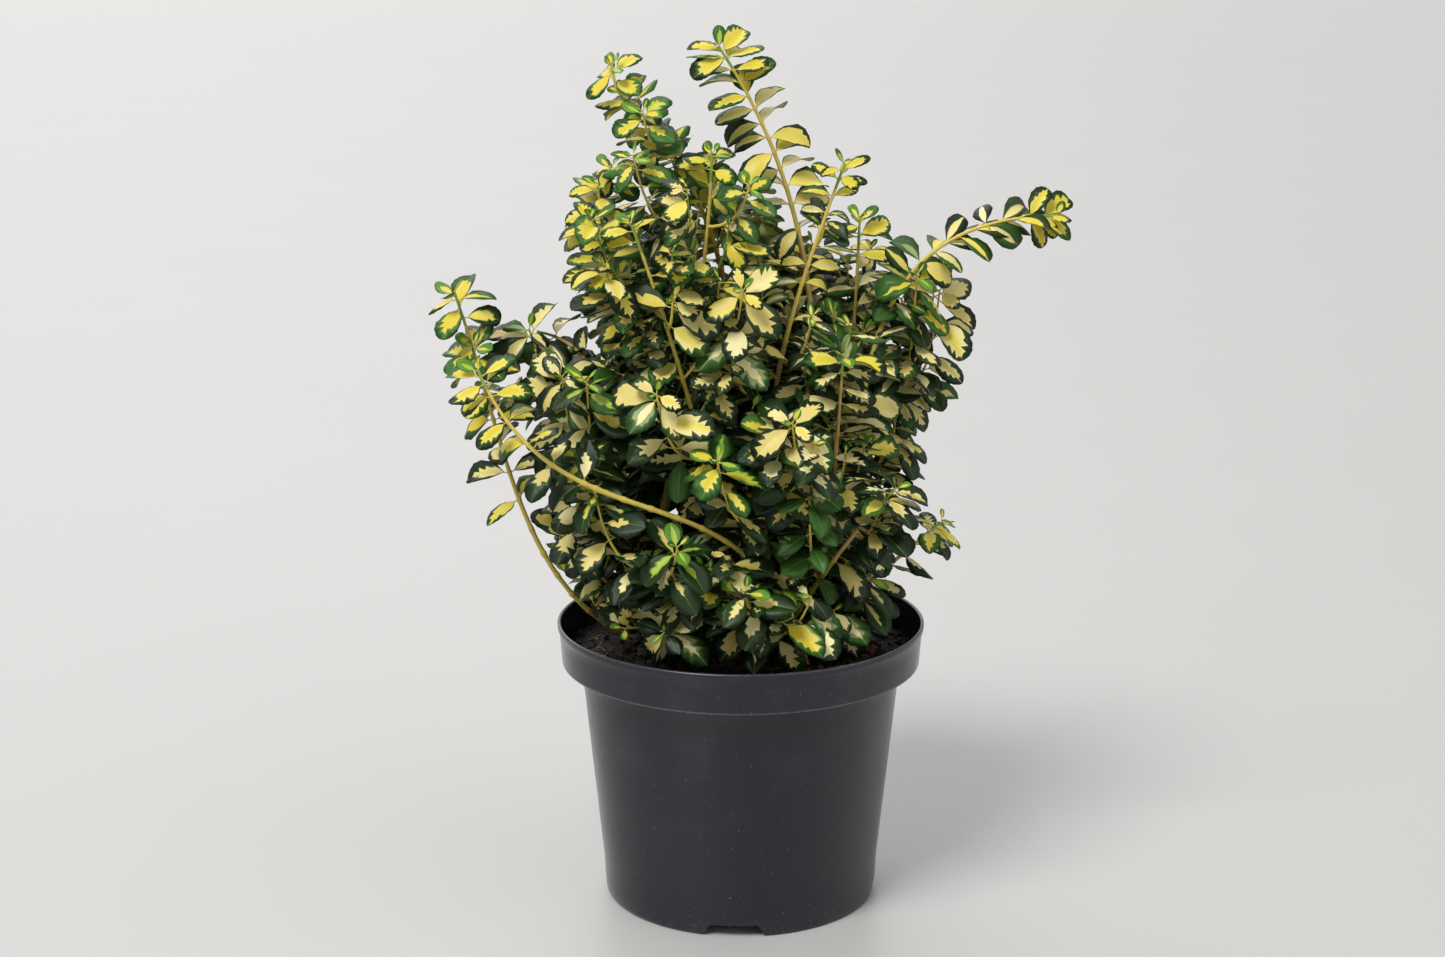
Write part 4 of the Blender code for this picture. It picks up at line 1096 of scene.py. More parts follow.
class Crown:
    """Where every leader and limb runs, to keep each mass to its own space."""

    def __init__(self):
        self.leaders, self.others = {}, {}
        samples, limbs = {}, []
        for shoot in SHOOTS:
            path = PATHS[shoot.name]
            split = path.total * shoot.bare
            limbs += [(p, BOUGH_FOOT_RADIUS) for p in path.stretch(0.0, split, SAMPLE_STEP)[0]]
            samples[shoot.name] = path.stretch(split, path.total, SAMPLE_STEP)[0]
        for stem in STEMS.values():
            limbs += [(stem_point(stem, i / 16), stem.radius) for i in range(17)]
        self.limb_radii = [radius for _, radius in limbs]
        self.limbs = self.tree([point for point, _ in limbs])
        front = [p for name, part in SHOWN.items() for p in self.shown_points(name, *part)]
        self.front = self.tree([self.seen(p) for p in front])
        self.front_depth = [p[1] for p in front]
        edge = np.array([self.seen(p) for p in self.shown_points("left_arch", *SHOWN["left_arch"])])
        self.edge = edge[np.argsort(edge[:, 1])]
        for name, own in samples.items():
            self.leaders[name] = self.tree(own)
            self.others[name] = self.tree([p for other, ps in samples.items() if other != name for p in ps])

    @staticmethod
    def tree(points):
        tree = KDTree(len(points))
        for i, point in enumerate(points):
            tree.insert(point, i)
        tree.balance()
        return tree

    @staticmethod
    def shown_points(name, start, end):
        path = PATHS[name]
        return path.stretch(path.total * start, path.total * end, SAMPLE_STEP / 2)[0]

    @staticmethod
    def seen(point):
        """A point's place as seen from the front, a little from above."""
        return (point[0], point[2] + point[1] * math.tan(math.radians(CAMERA_TILT)), 0.0)

    def hides_arch(self, point):
        """Whether a point lies in front of an arching shoot's bare stretch, or outside the left one."""
        seen = self.seen(point)
        if self.edge[0][1] < seen[1] < self.edge[-1][1] and point[1] < 0.08:
            if seen[0] < np.interp(seen[1], self.edge[:, 1], self.edge[:, 0]) - 0.002:
                return True
        _, index, distance = self.front.find(seen)
        return distance < SHOWN_CLEAR and point[1] < self.front_depth[index]

    def allows(self, name, points, inside=False):
        """Whether all points lie in a mass's own space, clear of limbs, soil and rim.

        What grows inside the crown, on a bough, keeps to no one mass's space.
        """
        for point in points:
            if self.hides_arch(point):
                return False
            own = self.leaders[name].find(point)[2]
            if not inside and self.others[name].find(point)[2] - own < SPACE_MARGIN:
                return False
            _, index, distance = self.limbs.find(point)
            if distance < self.limb_radii[index] + LIMB_MARGIN:
                return False
            over_soil = math.hypot(point[0], point[1]) < BODY_TOP_RADIUS - 0.004
            if point[2] < (SOIL_TOP if over_soil else POT_HEIGHT) + SOIL_MARGIN:
                return False
        return True


class Room:
    """Which places are taken by leaves, in small cells, so that leaves don't cross."""

    def __init__(self, apart):
        self.apart = apart
        self.cells = {}

    def key(self, point):
        return tuple(int(number // self.apart) for number in point)

    def crowded(self, points, owner):
        """How many of the points lie by a leaf of another node."""
        return sum(self.cells.get(self.key(point), owner) != owner for point in points)

    def take(self, points, owner):
        for point in points:
            a, b, c = self.key(point)
            for i in (-1, 0, 1):
                for j in (-1, 0, 1):
                    for k in (-1, 0, 1):
                        self.cells.setdefault((a + i, b + j, c + k), owner)


Form = namedtuple("Form", "bend fold cup twist wave phase belly round")


def bent(points, form):
    """Puts flat leaf points (along, across, lift) on the leaf's curved surface."""
    x, y, lift = points[..., 0], points[..., 1], points[..., 2]
    angle = form.bend * x
    if abs(form.bend) < 1e-3:
        along, drop = x, 0.0 * x
    else:
        along, drop = np.sin(angle) / form.bend, -(1.0 - np.cos(angle)) / form.bend
    edge = np.abs(y)
    rise = form.fold * edge - form.cup * edge ** 2 * 2.0 + form.twist * x * y
    rise = rise + form.wave * edge * 3.3 * np.sin(11.0 * x + form.phase + np.sign(y) * 0.8) + lift
    return np.stack([along + rise * np.sin(angle), y, drop + rise * np.cos(angle)], axis=-1)


def half_width(u, width, form):
    """Half the width of the blade at a share of its length."""
    belly, tip = form.belly, form.round
    peak = belly ** belly * tip ** tip / (belly + tip) ** (belly + tip)
    shape = np.clip(u, 0.0, 1.0) ** belly * np.clip(1.0 - u, 0.0, 1.0) ** tip / peak
    return np.maximum(width / 2 * shape, 0.011)


Patch = namedtuple("Patch", "hold reach notch even")
NO_PATCH = Patch(0.045, 0.0, (0.0, 0.1), 0.0)


def drawn_patch(rng, kind):
    """A pale patch of one kind, with its width and length drawn."""
    hold, reach, notch, even = PATCHES[kind]
    return Patch(rng.uniform(*hold), rng.uniform(*reach), notch, even)


def patch_edge(rows, patch, rng):
    """How far out the pale patch goes along each vein of one side, as shares of the half width."""
    reach = patch.reach * rng.uniform(0.84, 1.10)
    hold = min(0.95, patch.hold * rng.uniform(0.84, 1.10))
    edge, deep = [], False
    for i in range(rows + 1):
        s = i / rows
        fade = clamp((reach + 0.08 - s) / 0.26)
        value = hold * fade * (2 - fade) * min(1.0, 0.55 + s * 4.0)
        open_part = ramp(s, patch.even, 0.20)
        deep = not deep and rng.random() < 0.62
        if deep:
            value *= 1.0 - open_part * rng.uniform(*patch.notch)
        else:
            value *= rng.uniform(0.90, 1.06)
        edge.append(min(0.95, value))
    return edge


class LeafMaker:
    """Makes whole leaves: stalk, toothed two-sided blade and its pale patch."""

    def __init__(self, rows, thickness, under):
        self.rows, self.thickness, self.under = rows, thickness, under
        s = np.arange(rows + 1) / rows
        self.s = s
        self.ahead = np.clip(s + 0.28 * np.sin(np.pi * s) * (1.0 - 0.15 * s), 0.0, 1.0)
        self.columns = 4 if under else 3
        wide = 2 * self.columns + 1
        start = (rows + 1) * wide
        inner = 3 if under else 1

        def below(row, column):
            if column in (0, inner + 1):
                return row * wide + (0 if column == 0 else wide - 1)
            return start + row * inner + column - 1

        quads = [(i * wide + j, (i + 1) * wide + j, (i + 1) * wide + j + 1, i * wide + j + 1)
                 for i in range(rows) for j in range(wide - 1)]
        quads += [(below(i, j), below(i, j + 1), below(i + 1, j + 1), below(i + 1, j))
                  for i in range(rows) for j in range(inner + 1)]
        stalk = start + (rows + 1) * inner
        quads += [(stalk + k, stalk + (k + 1) % 4, stalk + 4 + (k + 1) % 4, stalk + 4 + k) for k in range(4)]
        self.quads = np.array(quads)

    def side(self, share_out, half, side):
        """Flat points of one side of the blade at a share of its half width."""
        x = self.s[:, None] + (self.ahead - self.s)[:, None] * share_out ** 1.2
        return np.stack([x, half[:, None] * share_out * side, 0 * x], axis=-1)

    def make(self, leaf):
        """Points, faces and tones of one leaf."""
        rng, form, rows = random.Random(leaf.seed), leaf.form, self.rows
        teeth = 1.0 + np.where(np.arange(rows + 1) % 2 == 0, 0.034, -0.030)
        half = half_width(self.ahead, leaf.width, form) * teeth
        veins = np.where(np.arange(rows + 1) % 2 == 0, -0.004, 0.004)[:, None]
        grids, shares, extra_inside = [], [], leaf.patch.hold > 0.5
        for side in (-1, 1):
            f = np.maximum(np.array(patch_edge(rows, leaf.patch, rng)), 0.045)
            ring = np.minimum(f + np.where(f > 0.08, rng.uniform(0.02, 0.12), 0.02), 0.975)
            columns = [f, ring, np.ones(rows + 1)]
            if self.under:
                columns.insert(0 if extra_inside else 2, f * 0.5 if extra_inside else (ring + 1) / 2)
            c = np.stack(columns, axis=1)
            grid = self.side(c, half, side)
            grid[..., 2] = veins * np.sin(np.pi * np.clip(c, 0, 1))
            grids.append(grid)
            shares.append(f)
        middle = np.stack([self.s, 0 * self.s, 0 * self.s - 0.010], axis=-1)[:, None, :]
        top = np.concatenate([grids[0][:, ::-1], middle, grids[1]], axis=1)
        thick = np.minimum(1.0, np.minimum(self.s * 8, (1 - self.s) * 8)) * self.thickness / leaf.length
        ridge = middle[:, 0, :] - np.stack([0 * thick, 0 * thick, thick * 1.8], axis=-1)
        if self.under:
            outer = [self.side(f[:, None], half, side)[:, 0, :] for side, f in zip((-1, 1), shares)]
            for points in outer:
                points[:, 2] -= thick
            under = np.stack([outer[0], ridge, outer[1]], axis=1)
        else:
            under = ridge[:, None, :]
        shaped = bent(np.concatenate([top.reshape(-1, 3), under.reshape(-1, 3)]), form)
        reach, rod = -leaf.stalk / leaf.length, 0.00050 / leaf.length
        ring = [(0, rod), (rod, 0), (0, -rod), (-rod, 0)]
        stalk = [(reach, a, b) for a, b in ring] + [(0.03, a * 0.8, b * 0.8 - 0.010) for a, b in ring]
        shaped = np.concatenate([shaped, stalk])
        shaped[:, 0] -= reach
        axes = np.array([tuple(axis) for axis in leaf.axes])
        points = np.array(leaf.origin) + (shaped * leaf.length) @ axes
        return points, self.quads, self.tones(shares, leaf.tones, extra_inside)

    def tones(self, shares, tones, extra_inside):
        """Tone numbers of a leaf's faces."""
        heart, pale, ring, margin, vein, below_pale, below_green = [TONE_INDEX[t] for t in tones]
        result, lit = [], [[max(f[i], f[i + 1]) > 0.09 for f in shares] for i in range(self.rows)]
        for i in range(self.rows):
            sides = []
            for has in lit[i]:
                row = [pale if has else vein, ring if has else margin, margin]
                if self.under:
                    row.insert(0 if extra_inside else 2, (heart if has else vein) if extra_inside else margin)
                sides.append(row)
            result += sides[0][::-1] + sides[1]
        for i in range(self.rows):
            if self.under:
                result += [below_green, below_pale if lit[i][0] else below_green,
                           below_pale if lit[i][1] else below_green, below_green]
            else:
                result += [below_green if i > self.rows * 0.6 else below_pale] * 2
        return np.array(result + [TONE_INDEX["stalk"]] * 4)


def young_style(rng, age, low):
    """Tones and patch of a young leaf or of one of a green star."""
    if age == "fresh":
        pale = rng.choice(("lime", "yellow_soft", "lime", "yellow_bright"))
        margin = rng.choice(("green_fresh", "green_leaf", "green_fresh"))
        tones = (pale, pale, "green_fresh", margin, "lime", "under_yellow", "under_pale")
        return tones, drawn_patch(rng, age)
    if age == "plain":
        margin = rng.choice(("green_leaf", "green_mid"))
        tones = ("half_green", "half_green", margin, margin, "half_green", "under_pale", "under_pale")
        return tones, NO_PATCH
    if age == "green":
        # Near the soil the margin takes a darker green, painted shade.
        margin = rng.choice(("green_dark", "green_dark" if low > 0.4 else "green_mid", "green_blue"))
        pale = rng.choice(("cream_warm", "cream" if low > 0.4 else "yellow_soft", "lime"))
        tones = (pale, pale, "half_green", margin, "vein", "under_green", "under_green")
        return tones, drawn_patch(rng, age)
    if age == "lime":
        pale = rng.choice(("yellow_bright", "lime", "yellow_soft"))
        margin = rng.choice(("green_leaf", "green_mid", "green_leaf"))
    else:
        pale = rng.choice(("yellow_bright", "yellow_soft", "yellow_soft"))
        margin = rng.choice(("green_mid", "green_leaf", "green_dark"))
    tones = ("yellow_bright", pale, "half_green", margin, "half_green", "under_yellow", "under_green")
    return tones, drawn_patch(rng, age)


def leaf_style(rng, age, low):
    """Tones and patch of a leaf by its age; low leaves are greener, and the darker greens and shaded cream
    they get are painted shade.
    """
    if age in ("fresh", "plain", "green", "lime", "young"):
        return young_style(rng, age, low)
    # Low in the crown the margins take the darkest greens, painted shade where less light reaches.
    margin = rng.choice(("green_deep", "green_deep", "green_blue", "green_dark") if low > 0.2 else
                        ("green_deep", "green_blue", "green_dark", "green_dark", "green_mid"))
    if rng.random() < 0.05:
        tones = ("cream_pale", "marble", "half_grey", "green_mid", "marble", "under_pale", "under_pale")
        return tones, drawn_patch(rng, "marbled")
    if rng.random() < low * 0.40:
        tones = ("cream_pale", "cream_pale", "half_grey", margin, "vein", "under_green", "under_green")
        return tones, NO_PATCH if rng.random() < 0.40 else drawn_patch(rng, "shaded")
    # Only leaves under the middle of the crown may take the shaded cream, painted shade.
    pale = rng.choice(("cream_pale", "cream", "cream", "cream_warm", "cream_dull" if low > 0.0 else "cream"))
    if low < -0.70 and rng.random() < 0.62:
        pale = rng.choice(("yellow_soft", "cream_warm", "yellow_soft"))
    heart = rng.choice((pale, pale, "yellow_soft", "cream_warm"))
    ring = rng.choice((margin, "half_grey", "green_mid", "green_dark"))
    tones = (heart, pale, ring, margin, "vein", "under_cream", rng.choice(("under_green", "under_pale")))
    roll = rng.random()
    if age in ("rimmed", "bold"):
        return tones, drawn_patch(rng, age)
    if roll < 0.16 * (1.0 - max(0.0, low)):
        return tones, drawn_patch(rng, "even")
    return tones, drawn_patch(rng, "feathered" if roll < 0.62 else "slim")


def axes_on(direction, up):
    """Axes with X along direction and Z as near to up as it can be."""
    x = direction.normalized()
    y = up.cross(x)
    if y.length < 1e-4:
        y = Vector((0.3, 1.0, 0.2)).cross(x)
    y.normalize()
    return x, y, x.cross(y)


def frame_on(axis):
    """Two directions across an upright axis, near to world X and Y."""
    x = axis.normalized()
    reference = Vector((0.0, 1.0, 0.0)) if abs(x.y) < 0.85 else Vector((0.0, 0.0, -1.0))
    y = reference.cross(x).normalized()
    return x, y, x.cross(y)


def around(y, z, turn):
    """The direction at an angle between two directions across an axis."""
    return y * math.cos(turn) + z * math.sin(turn)


def lean(rng, amount):
    return Vector([rng.uniform(-amount, amount) for _ in range(3)])


Leaf = namedtuple("Leaf", "origin axes length width stalk form patch tones seed")


class Growth:
    """Twigs and leaves of one shoot while they grow."""

    def __init__(self, shoot, crown, room, settings, twigs):
        self.shoot, self.crown, self.room = shoot, crown, room
        self.settings, self.leaves, self.twigs = settings, [], twigs
        self.rng = random.Random(f"{settings.seed} {shoot.name}")
        self.slender = shoot.girth < SLENDER_GIRTH
        self.front = FRONT.get(shoot.name, FRONT_PLAIN)
        self.node, self.inside = 0, False

    def low(self, point):
        """One near the soil, nought half way up the crown and less than nought over it."""
        return min(1.0, max(-1.0, (0.31 - point.z) / 0.10))

    def comb(self, base):
        """Whether pairs of leaves spread to both sides here, as on a comb."""
        return base.z > COMBS.get(self.shoot.name, 9.0)

    def facing(self, base):
        """The way a leaf's upper face turns: up, out from the plant's axis, a little to the front."""
        outward = Vector((base.x, base.y, 0.0))
        behind = ramp(base.y, 0.02, 0.05)
        outward = outward.normalized() * (0.26 + 0.22 * behind) if outward.length > 0.005 else Vector()
        if self.comb(base):
            return (lean(self.rng, 0.42) + Vector((0.0, -0.62, 0.85))).normalized()
        front = self.front + FRONT_MORE * ramp(base.z, FRONT_FROM, FRONT_WITHIN)
        front *= clamp((0.07 - base.y) / 0.05)
        return (outward + lean(self.rng, 0.36) + Vector((0.0, -front, 1.0))).normalized()

    def samples(self, origin, axes, size, width, stalk, form):
        """Points of a leaf that are tested for room."""
        flat = []
        for u in TESTED_ALONG:
            half = float(half_width(np.array(u), width, form))
            flat += [(u, side * half, 0.0) for side in TESTED_ACROSS]
        shaped = bent(np.array(flat), form)
        shaped[:, 0] += stalk / size
        return np.array(origin) + (shaped * size) @ np.array([tuple(axis) for axis in axes])

    def add_leaf(self, base, direction, size, age, strength=0.70):
        """A leaf in the mass's own space, clear of other leaves; turned a little where it must be."""
        rng, settings, comb = self.rng, self.settings, self.comb(base)
        owner = (self.shoot.name, self.node)
        best = None
        for number, part in enumerate(LEAF_TRIES):
            blade = settings.length * size * part * LEAF_SCALE.get(self.shoot.name, 1.0)
            if not comb:
                blade *= 1.0 - SMALLER_BY * ramp(base.z, SMALL_FROM, SMALL_WITHIN)
            width = settings.width * rng.uniform(0.88, 1.12) * LEAF_WIDTH.get(self.shoot.name, 1.0)
            width *= 1.06 if age in ("young", "lime") else 1.0
            face = self.facing(base)
            along = direction.normalized() + lean(rng, 0.10 + 0.12 * number)
            x, y, z = axes_on(along - face * along.dot(face) * strength, face)
            stalk = settings.stalk * (0.6 + 0.5 * size) * (0.6 if comb else 1.0)
            bend = rng.uniform(0.15, 1.05) if age != "fresh" else rng.uniform(-0.3, 0.5)
            bend = rng.uniform(0.60, 1.60) if age == "rimmed" else bend
            form = Form(bend, rng.uniform(0.0, 0.50), rng.uniform(-0.25, 0.75), rng.uniform(-0.35, 0.35),
                        rng.uniform(0.0, 0.020), rng.uniform(0, 6.28), rng.uniform(0.72, 0.92),
                        rng.uniform(0.50, 0.68))
            inner = self.samples(base, (x, y, z), blade, width, stalk, form)[TESTED_FROM:]
            if not self.crown.allows(self.shoot.name, inner[::2], self.inside):
                continue
            if any(self.crown.hides_arch(point) for point in inner[1::2]):
                continue
            crowd = self.room.crowded(inner, owner)
            if best is None or crowd < best[0]:
                best = (crowd, blade, width, stalk, (x, y, z), form, inner)
            if crowd == 0:
                break
        if best is None or best[0] > (MOST_COMB_TOUCHES if comb else MOST_TOUCHES):
            return
        _, blade, width, stalk, axes, form, inner = best
        self.room.take(inner[::2], owner)
        tones, patch = leaf_style(rng, age, self.low(base))
        self.leaves.append(Leaf(tuple(base), axes, blade, width, stalk, form, patch, tones, rng.random()))

    def add_pair(self, base, axis, turn, opening, size, age, strength=0.70):
        """Two opposite leaves at a node; opening is their angle from the axis."""
        self.node += 1
        x, y, z = frame_on(axis)
        if self.comb(base):
            age = "rimmed" if age == "old" else age
            strength = 0.8
            if axis.z > abs(axis.x):
                turn = 0.6 * math.sin(turn)
            else:
                opening *= 0.66
            y = (Vector((0.0, 0.0, 1.0)) - x * x.z).normalized()
            z = x.cross(y)
        for side in (0.0, math.pi):
            outward = around(y, z, turn + side + self.rng.uniform(-0.22, 0.22))
            direction = x * math.cos(opening) + outward * math.sin(opening)
            self.add_leaf(base, direction, size * self.rng.uniform(0.90, 1.08), age, strength)

    def add_tube(self, path, radii, tone, sides=6):
        points, quads = tube_mesh(path, radii, sides)
        self.twigs.add(points, quads, np.full(len(quads), tone))

    def add_tip(self, end, axis, turn, age, size=1.0):
        """The star at a shoot's tip: two spread pairs, a small fresh pair and two bud leaves."""
        self.add_pair(end - axis * 0.0085, axis, turn + math.pi / 2, 1.25, 1.00 * size, age, 0.75)
        self.add_pair(end - axis * 0.0040, axis, turn, 1.15, 0.86 * size, age, 0.75)
        smallest = age if age in ("old", "bold") else "fresh"
        self.add_pair(end - axis * 0.0008, axis, turn + math.pi / 2, 1.05, 0.54 * size, smallest, 0.6)
        self.node += 1
        x, y, z = frame_on(axis)
        for side in (0.0, math.pi):
            direction = x * 0.80 + around(y, z, turn + side) * 0.60
            self.add_leaf(end + axis * 0.0010, direction, 0.27 * size, "fresh", 0.2)

    def star_base(self, tip):
        """The place on the shoot that a star's stem starts from: the nearest that lies well below it."""
        path = PATHS[self.shoot.name]
        bases = [path.at(at) for at in np.arange(0.020, path.total, 0.004)]
        below = []
        for base in bases:
            least = max(STAR_LEAST_RISE, STAR_SLOPE * math.hypot(tip.x - base.x, tip.y - base.y))
            if tip.z - base.z > least:
                below.append(base)
        return min(below or bases[:1], key=lambda base: (tip - base).length)

    def add_star(self, tip, kind):
        """A side shoot that ends in a star at a set place, with pairs of leaves down its stem."""
        rng = self.rng
        base = self.star_base(tip)
        flat = Vector((tip.x - base.x, tip.y - base.y, 0.0))
        path = self.twig_path(base, flat.normalized(), flat.length, Vector((0.0, 0.0, tip.z - base.z)))
        self.add_tube(path.points, [STAR_STEM_RADIUS * (1.0 - 0.45 * i / 10) for i in range(11)], 1)
        turn = math.pi / 4 + rng.uniform(-0.3, 0.3)
        tip_age, tilt, size = STAR_KINDS[kind]
        self.inside, self.front = True, tilt
        axis = (path.heading(path.total - 0.002) + Vector((0.0, -tilt, 0.0))).normalized()
        self.add_tip(tip, axis, turn, tip_age, size)
        left = 0.0190
        while left < path.total - 0.008:
            turn += math.pi / 2
            at = path.total - left
            age = tip_age if left < 0.022 or kind in ("fresh", "young") else "old"
            self.add_pair(path.at(at), path.heading(at), turn, rng.uniform(1.1, 1.35), 0.96 * size, age)
            left += rng.uniform(0.0100, 0.0125)
        self.inside, self.front = False, FRONT.get(self.shoot.name, FRONT_PLAIN)

    @staticmethod
    def twig_path(base, direction, reach, rise):
        """Out along its direction first, then bent upright."""
        return Path([base + direction * reach * (t - 0.35 * t * t) / 0.65 + rise * t * t
                     for t in (i / 10 for i in range(11))])

    def add_twig(self, base, direction, reach, height, level=0, tip_age="old"):
        """A side twig that turns upright, with pairs of leaves, finer twigs and a tip."""
        rng, settings = self.rng, self.settings
        direction = direction.normalized()
        sway = lean(rng, 0.10)
        while True:
            path = self.twig_path(base, direction, reach, (Vector((0.0, 0.0, 1.0)) + sway) * height)
            tested = [path.at(path.total * t) for t in (0.4, 0.7, 1.0)]
            if self.crown.allows(self.shoot.name, tested, self.inside):
                break
            reach, height = reach * 0.80, height * 0.86
            if reach < 0.008:
                return
        foot = TWIG_RADIUS if level == 0 else FINE_TWIG_RADIUS
        closer = 1.0 - 0.20 * ramp(base.z + height, 0.40, 0.05)
        nodes = max(1, round(path.total / (settings.twig_spacing * closer)))
        tone = 0 if tip_age != "old" or level else rng.choice((0, 1, 1))
        self.add_tube(path.points, [foot * (1.0 - 0.42 * i / 10) for i in range(11)], tone, 5)
        turn = math.pi / 4 + rng.uniform(-0.45, 0.45)
        for i in range(nodes):
            at = path.total * (i + 0.72) / (nodes + 0.45)
            place, axis = path.at(at), path.heading(at)
            turn += math.pi / 2 + rng.uniform(-0.2, 0.2)
            age = "young" if tip_age == "young" and i >= nodes - (4 if base.z > 0.37 else 2) else "old"
            self.add_pair(place, axis, turn, rng.uniform(1.05, 1.40), rng.uniform(0.86, 1.02), age)
            if level == 0 and 0 < i < nodes - 1 and rng.random() < 0.30:
                x, y, z = frame_on(axis)
                outward = around(y, z, turn + rng.choice((0.0, math.pi)))
                reach, rise = rng.uniform(0.012, 0.020), rng.uniform(0.016, 0.030)
                self.add_twig(place, x * 0.4 + outward * 0.8, reach, rise, 1,
                              "young" if rng.random() < 0.06 else "old")
        self.add_tip(path.at(path.total), path.heading(path.total - 0.002), turn + math.pi / 2,
                     "young" if tip_age == "young" else "old", 1.05 if level == 0 else 0.92)

    def clothe_bough(self, path, split):
        """Pairs of leaves and short twigs on the bough, inside the crown."""
        rng, shoot = self.rng, self.shoot
        self.inside = True
        at, turn = split * 0.14, rng.uniform(0, math.pi)
        if shoot.start[0] == "soil":
            at = split * CLOTHED_FROM.get(shoot.name, 1.0)
        while at < split - 0.008:
            base, axis = path.at(at), path.heading(at)
            turn += math.pi / 2 + rng.uniform(-0.3, 0.3)
            if shoot.name in CLOTHED_FROM:
                self.add_pair(base, axis, turn, rng.uniform(1.1, 1.4), 0.95, "old")
                at += 0.0135
                continue
            at += 0.0120 if self.comb(base) else rng.uniform(0.018, 0.026)
            if base.z > CLOTHED_TOP and base.x > 0.0 and shoot.name not in CLOTHED_HIGH:
                continue
            self.add_pair(base, axis, turn, rng.uniform(1.1, 1.4), 0.96, "old")
            if self.comb(base):
                continue
            x, y, z = frame_on(axis)
            for side in (turn, turn + math.pi):
                if rng.random() < 0.55:
                    reach = rng.uniform(0.016, 0.040)
                    direction = x * 0.3 + around(y, z, side) * 0.9
                    self.add_twig(base, direction, reach, reach * rng.uniform(0.5, 1.3))
        self.inside = False

    def add_leader(self, path, split, total, places):
        """The shoot's own stem from its bough's tip on, with swollen nodes, green at its end."""
        points, wanted = path.stretch(split - 0.002, total, 0.0014)
        part = np.clip((wanted - split) / (total - split), 0, 1)
        radii = BOUGH_TIP_RADIUS + (LEADER_TIP_RADIUS - BOUGH_TIP_RADIUS) * part ** 0.9
        for place in places:
            radii = radii * (1.0 + 0.28 * np.exp(-((wanted - place) / 0.0011) ** 2))
        bright = self.shoot.name in YELLOW_LEADERS or self.shoot.tip[2] > 0.4
        tones = np.where(part > 0.86, 0, 1 if bright else 2)
        tube, quads = tube_mesh(points, radii, LEADER_SIDES)
        self.twigs.add(tube, quads, np.repeat(tones[:-1], LEADER_SIDES))

    def add_side_twigs(self, base, axis, turn, reach, left, young):
        """Two opposite side twigs at a node, no higher than the shoot's tip."""
        rng = self.rng
        x, y, z = frame_on(axis)
        for side in (0.0, math.pi):
            direction = x * 0.45 + around(y, z, turn + side) * 0.90 + Vector((0.0, 0.0, 0.10))
            chance = 0.03 if base.z < 0.30 else 0.12 if base.z < 0.37 or base.x > 0.0 else 0.75
            tip = "young" if left < young + 0.03 or rng.random() < chance else "old"
            height = min(reach * rng.uniform(0.7, 1.5), left * 0.9, self.shoot.tip[2] - base.z - 0.016)
            self.add_twig(base, direction, reach * 0.9, height, 0, tip)

    def grow(self):
        """Opposite pairs of leaves and twigs up the leader, each turned from the one below."""
        rng, shoot = self.rng, self.shoot
        path = PATHS[shoot.name]
        split = path.total * shoot.bare
        total = path.total - TIP_SHORTENED
        rest = total - split
        nodes = max(5, round(rest / (self.settings.node_spacing * SPARSE.get(shoot.name, 1.0))))
        closer = CLOSER_TO_TIP.get(shoot.name, CLOSER_PLAIN)
        places = split + rest * (np.arange(nodes + 1) / nodes) ** closer
        self.add_leader(path, split, total, places)
        turn = math.pi / 4 + rng.uniform(-0.4, 0.4)
        young_reach = YOUNG_REACH.get(shoot.name, 0.010)
        plain_top = PLAIN_TOP.get(shoot.name, 0.045) if shoot.tip[2] > 0.3 else 0.020
        for i, at in enumerate(places):
            base, axis = path.at(at), path.heading(at)
            turn += math.pi / 2 + rng.uniform(-0.25, 0.25)
            left = total - at
            age = "young" if left < young_reach * rng.uniform(0.75, 1.2) else "old"
            size = (0.84 + 0.16 * min(1.0, left / 0.05)) * (0.92 if self.slender else 1.0)
            if i < nodes:
                self.add_pair(base, axis, turn, rng.uniform(1.1, 1.35), size, age)
            fullness = math.sin(math.pi * (0.22 + 0.68 * i / nodes)) ** 0.7
            reach = shoot.girth * fullness * rng.uniform(0.85, 1.08)
            if not self.slender and left >= plain_top and i % 2 == 0:
                self.add_side_twigs(base, axis, turn, reach, left, young_reach)
        size = TIP_SIZE.get(shoot.name, 0.88 if self.slender else 1.0)
        if size:
            age = "young" if shoot.tip[2] > 0.33 or self.slender else "old"
            self.add_tip(path.at(total), axis, turn + math.pi / 2, age, size)
        self.clothe_bough(path, split)


def leaves_ahead(leaves):
    """How many others each leaf has before it on the way out of the crown."""
    centres = [np.array(leaf.origin) + np.array(leaf.axes[0]) * leaf.length * 0.6 for leaf in leaves]
    centres = np.array(centres)
    outward = centres * (1.0, 1.0, 0.0)
    outward += (0.0, 0.0, 0.02)
    outward /= np.linalg.norm(outward, axis=1)[:, None]
    hidden = np.zeros(len(leaves), int)
    for i, (centre, way) in enumerate(zip(centres, outward)):
        offset = centres - centre
        ahead = offset @ way
        aside = np.linalg.norm(offset - ahead[:, None] * way, axis=1)
        hidden[i] = np.count_nonzero((ahead > AHEAD_FROM) & (aside < AHEAD_WITHIN))
    return hidden


def leaf_batches(leaves, owners, settings):
    """Meshes of all leaves by group; those deep in the crown are coarser and have smaller patches, which are
    partly the leaves' own greener colour and partly painted shade.
    """
    fine = LeafMaker(settings.rows, settings.thickness, True)
    coarse = LeafMaker(COARSE_ROWS, settings.thickness, False)
    deepest = len(SHADED_PATCH) - 1
    batches = {group: Batch() for group in GROUPS}
    for leaf, group, before in zip(leaves, owners, leaves_ahead(leaves)):
        # Fewer pale faces on leaves with others before them: partly painted shade.
        hold = leaf.patch.hold * SHADED_PATCH[min(before, deepest)]
        maker = coarse if before >= deepest else fine
        batches[group].add(*maker.make(leaf._replace(patch=leaf.patch._replace(hold=hold))))
    return batches


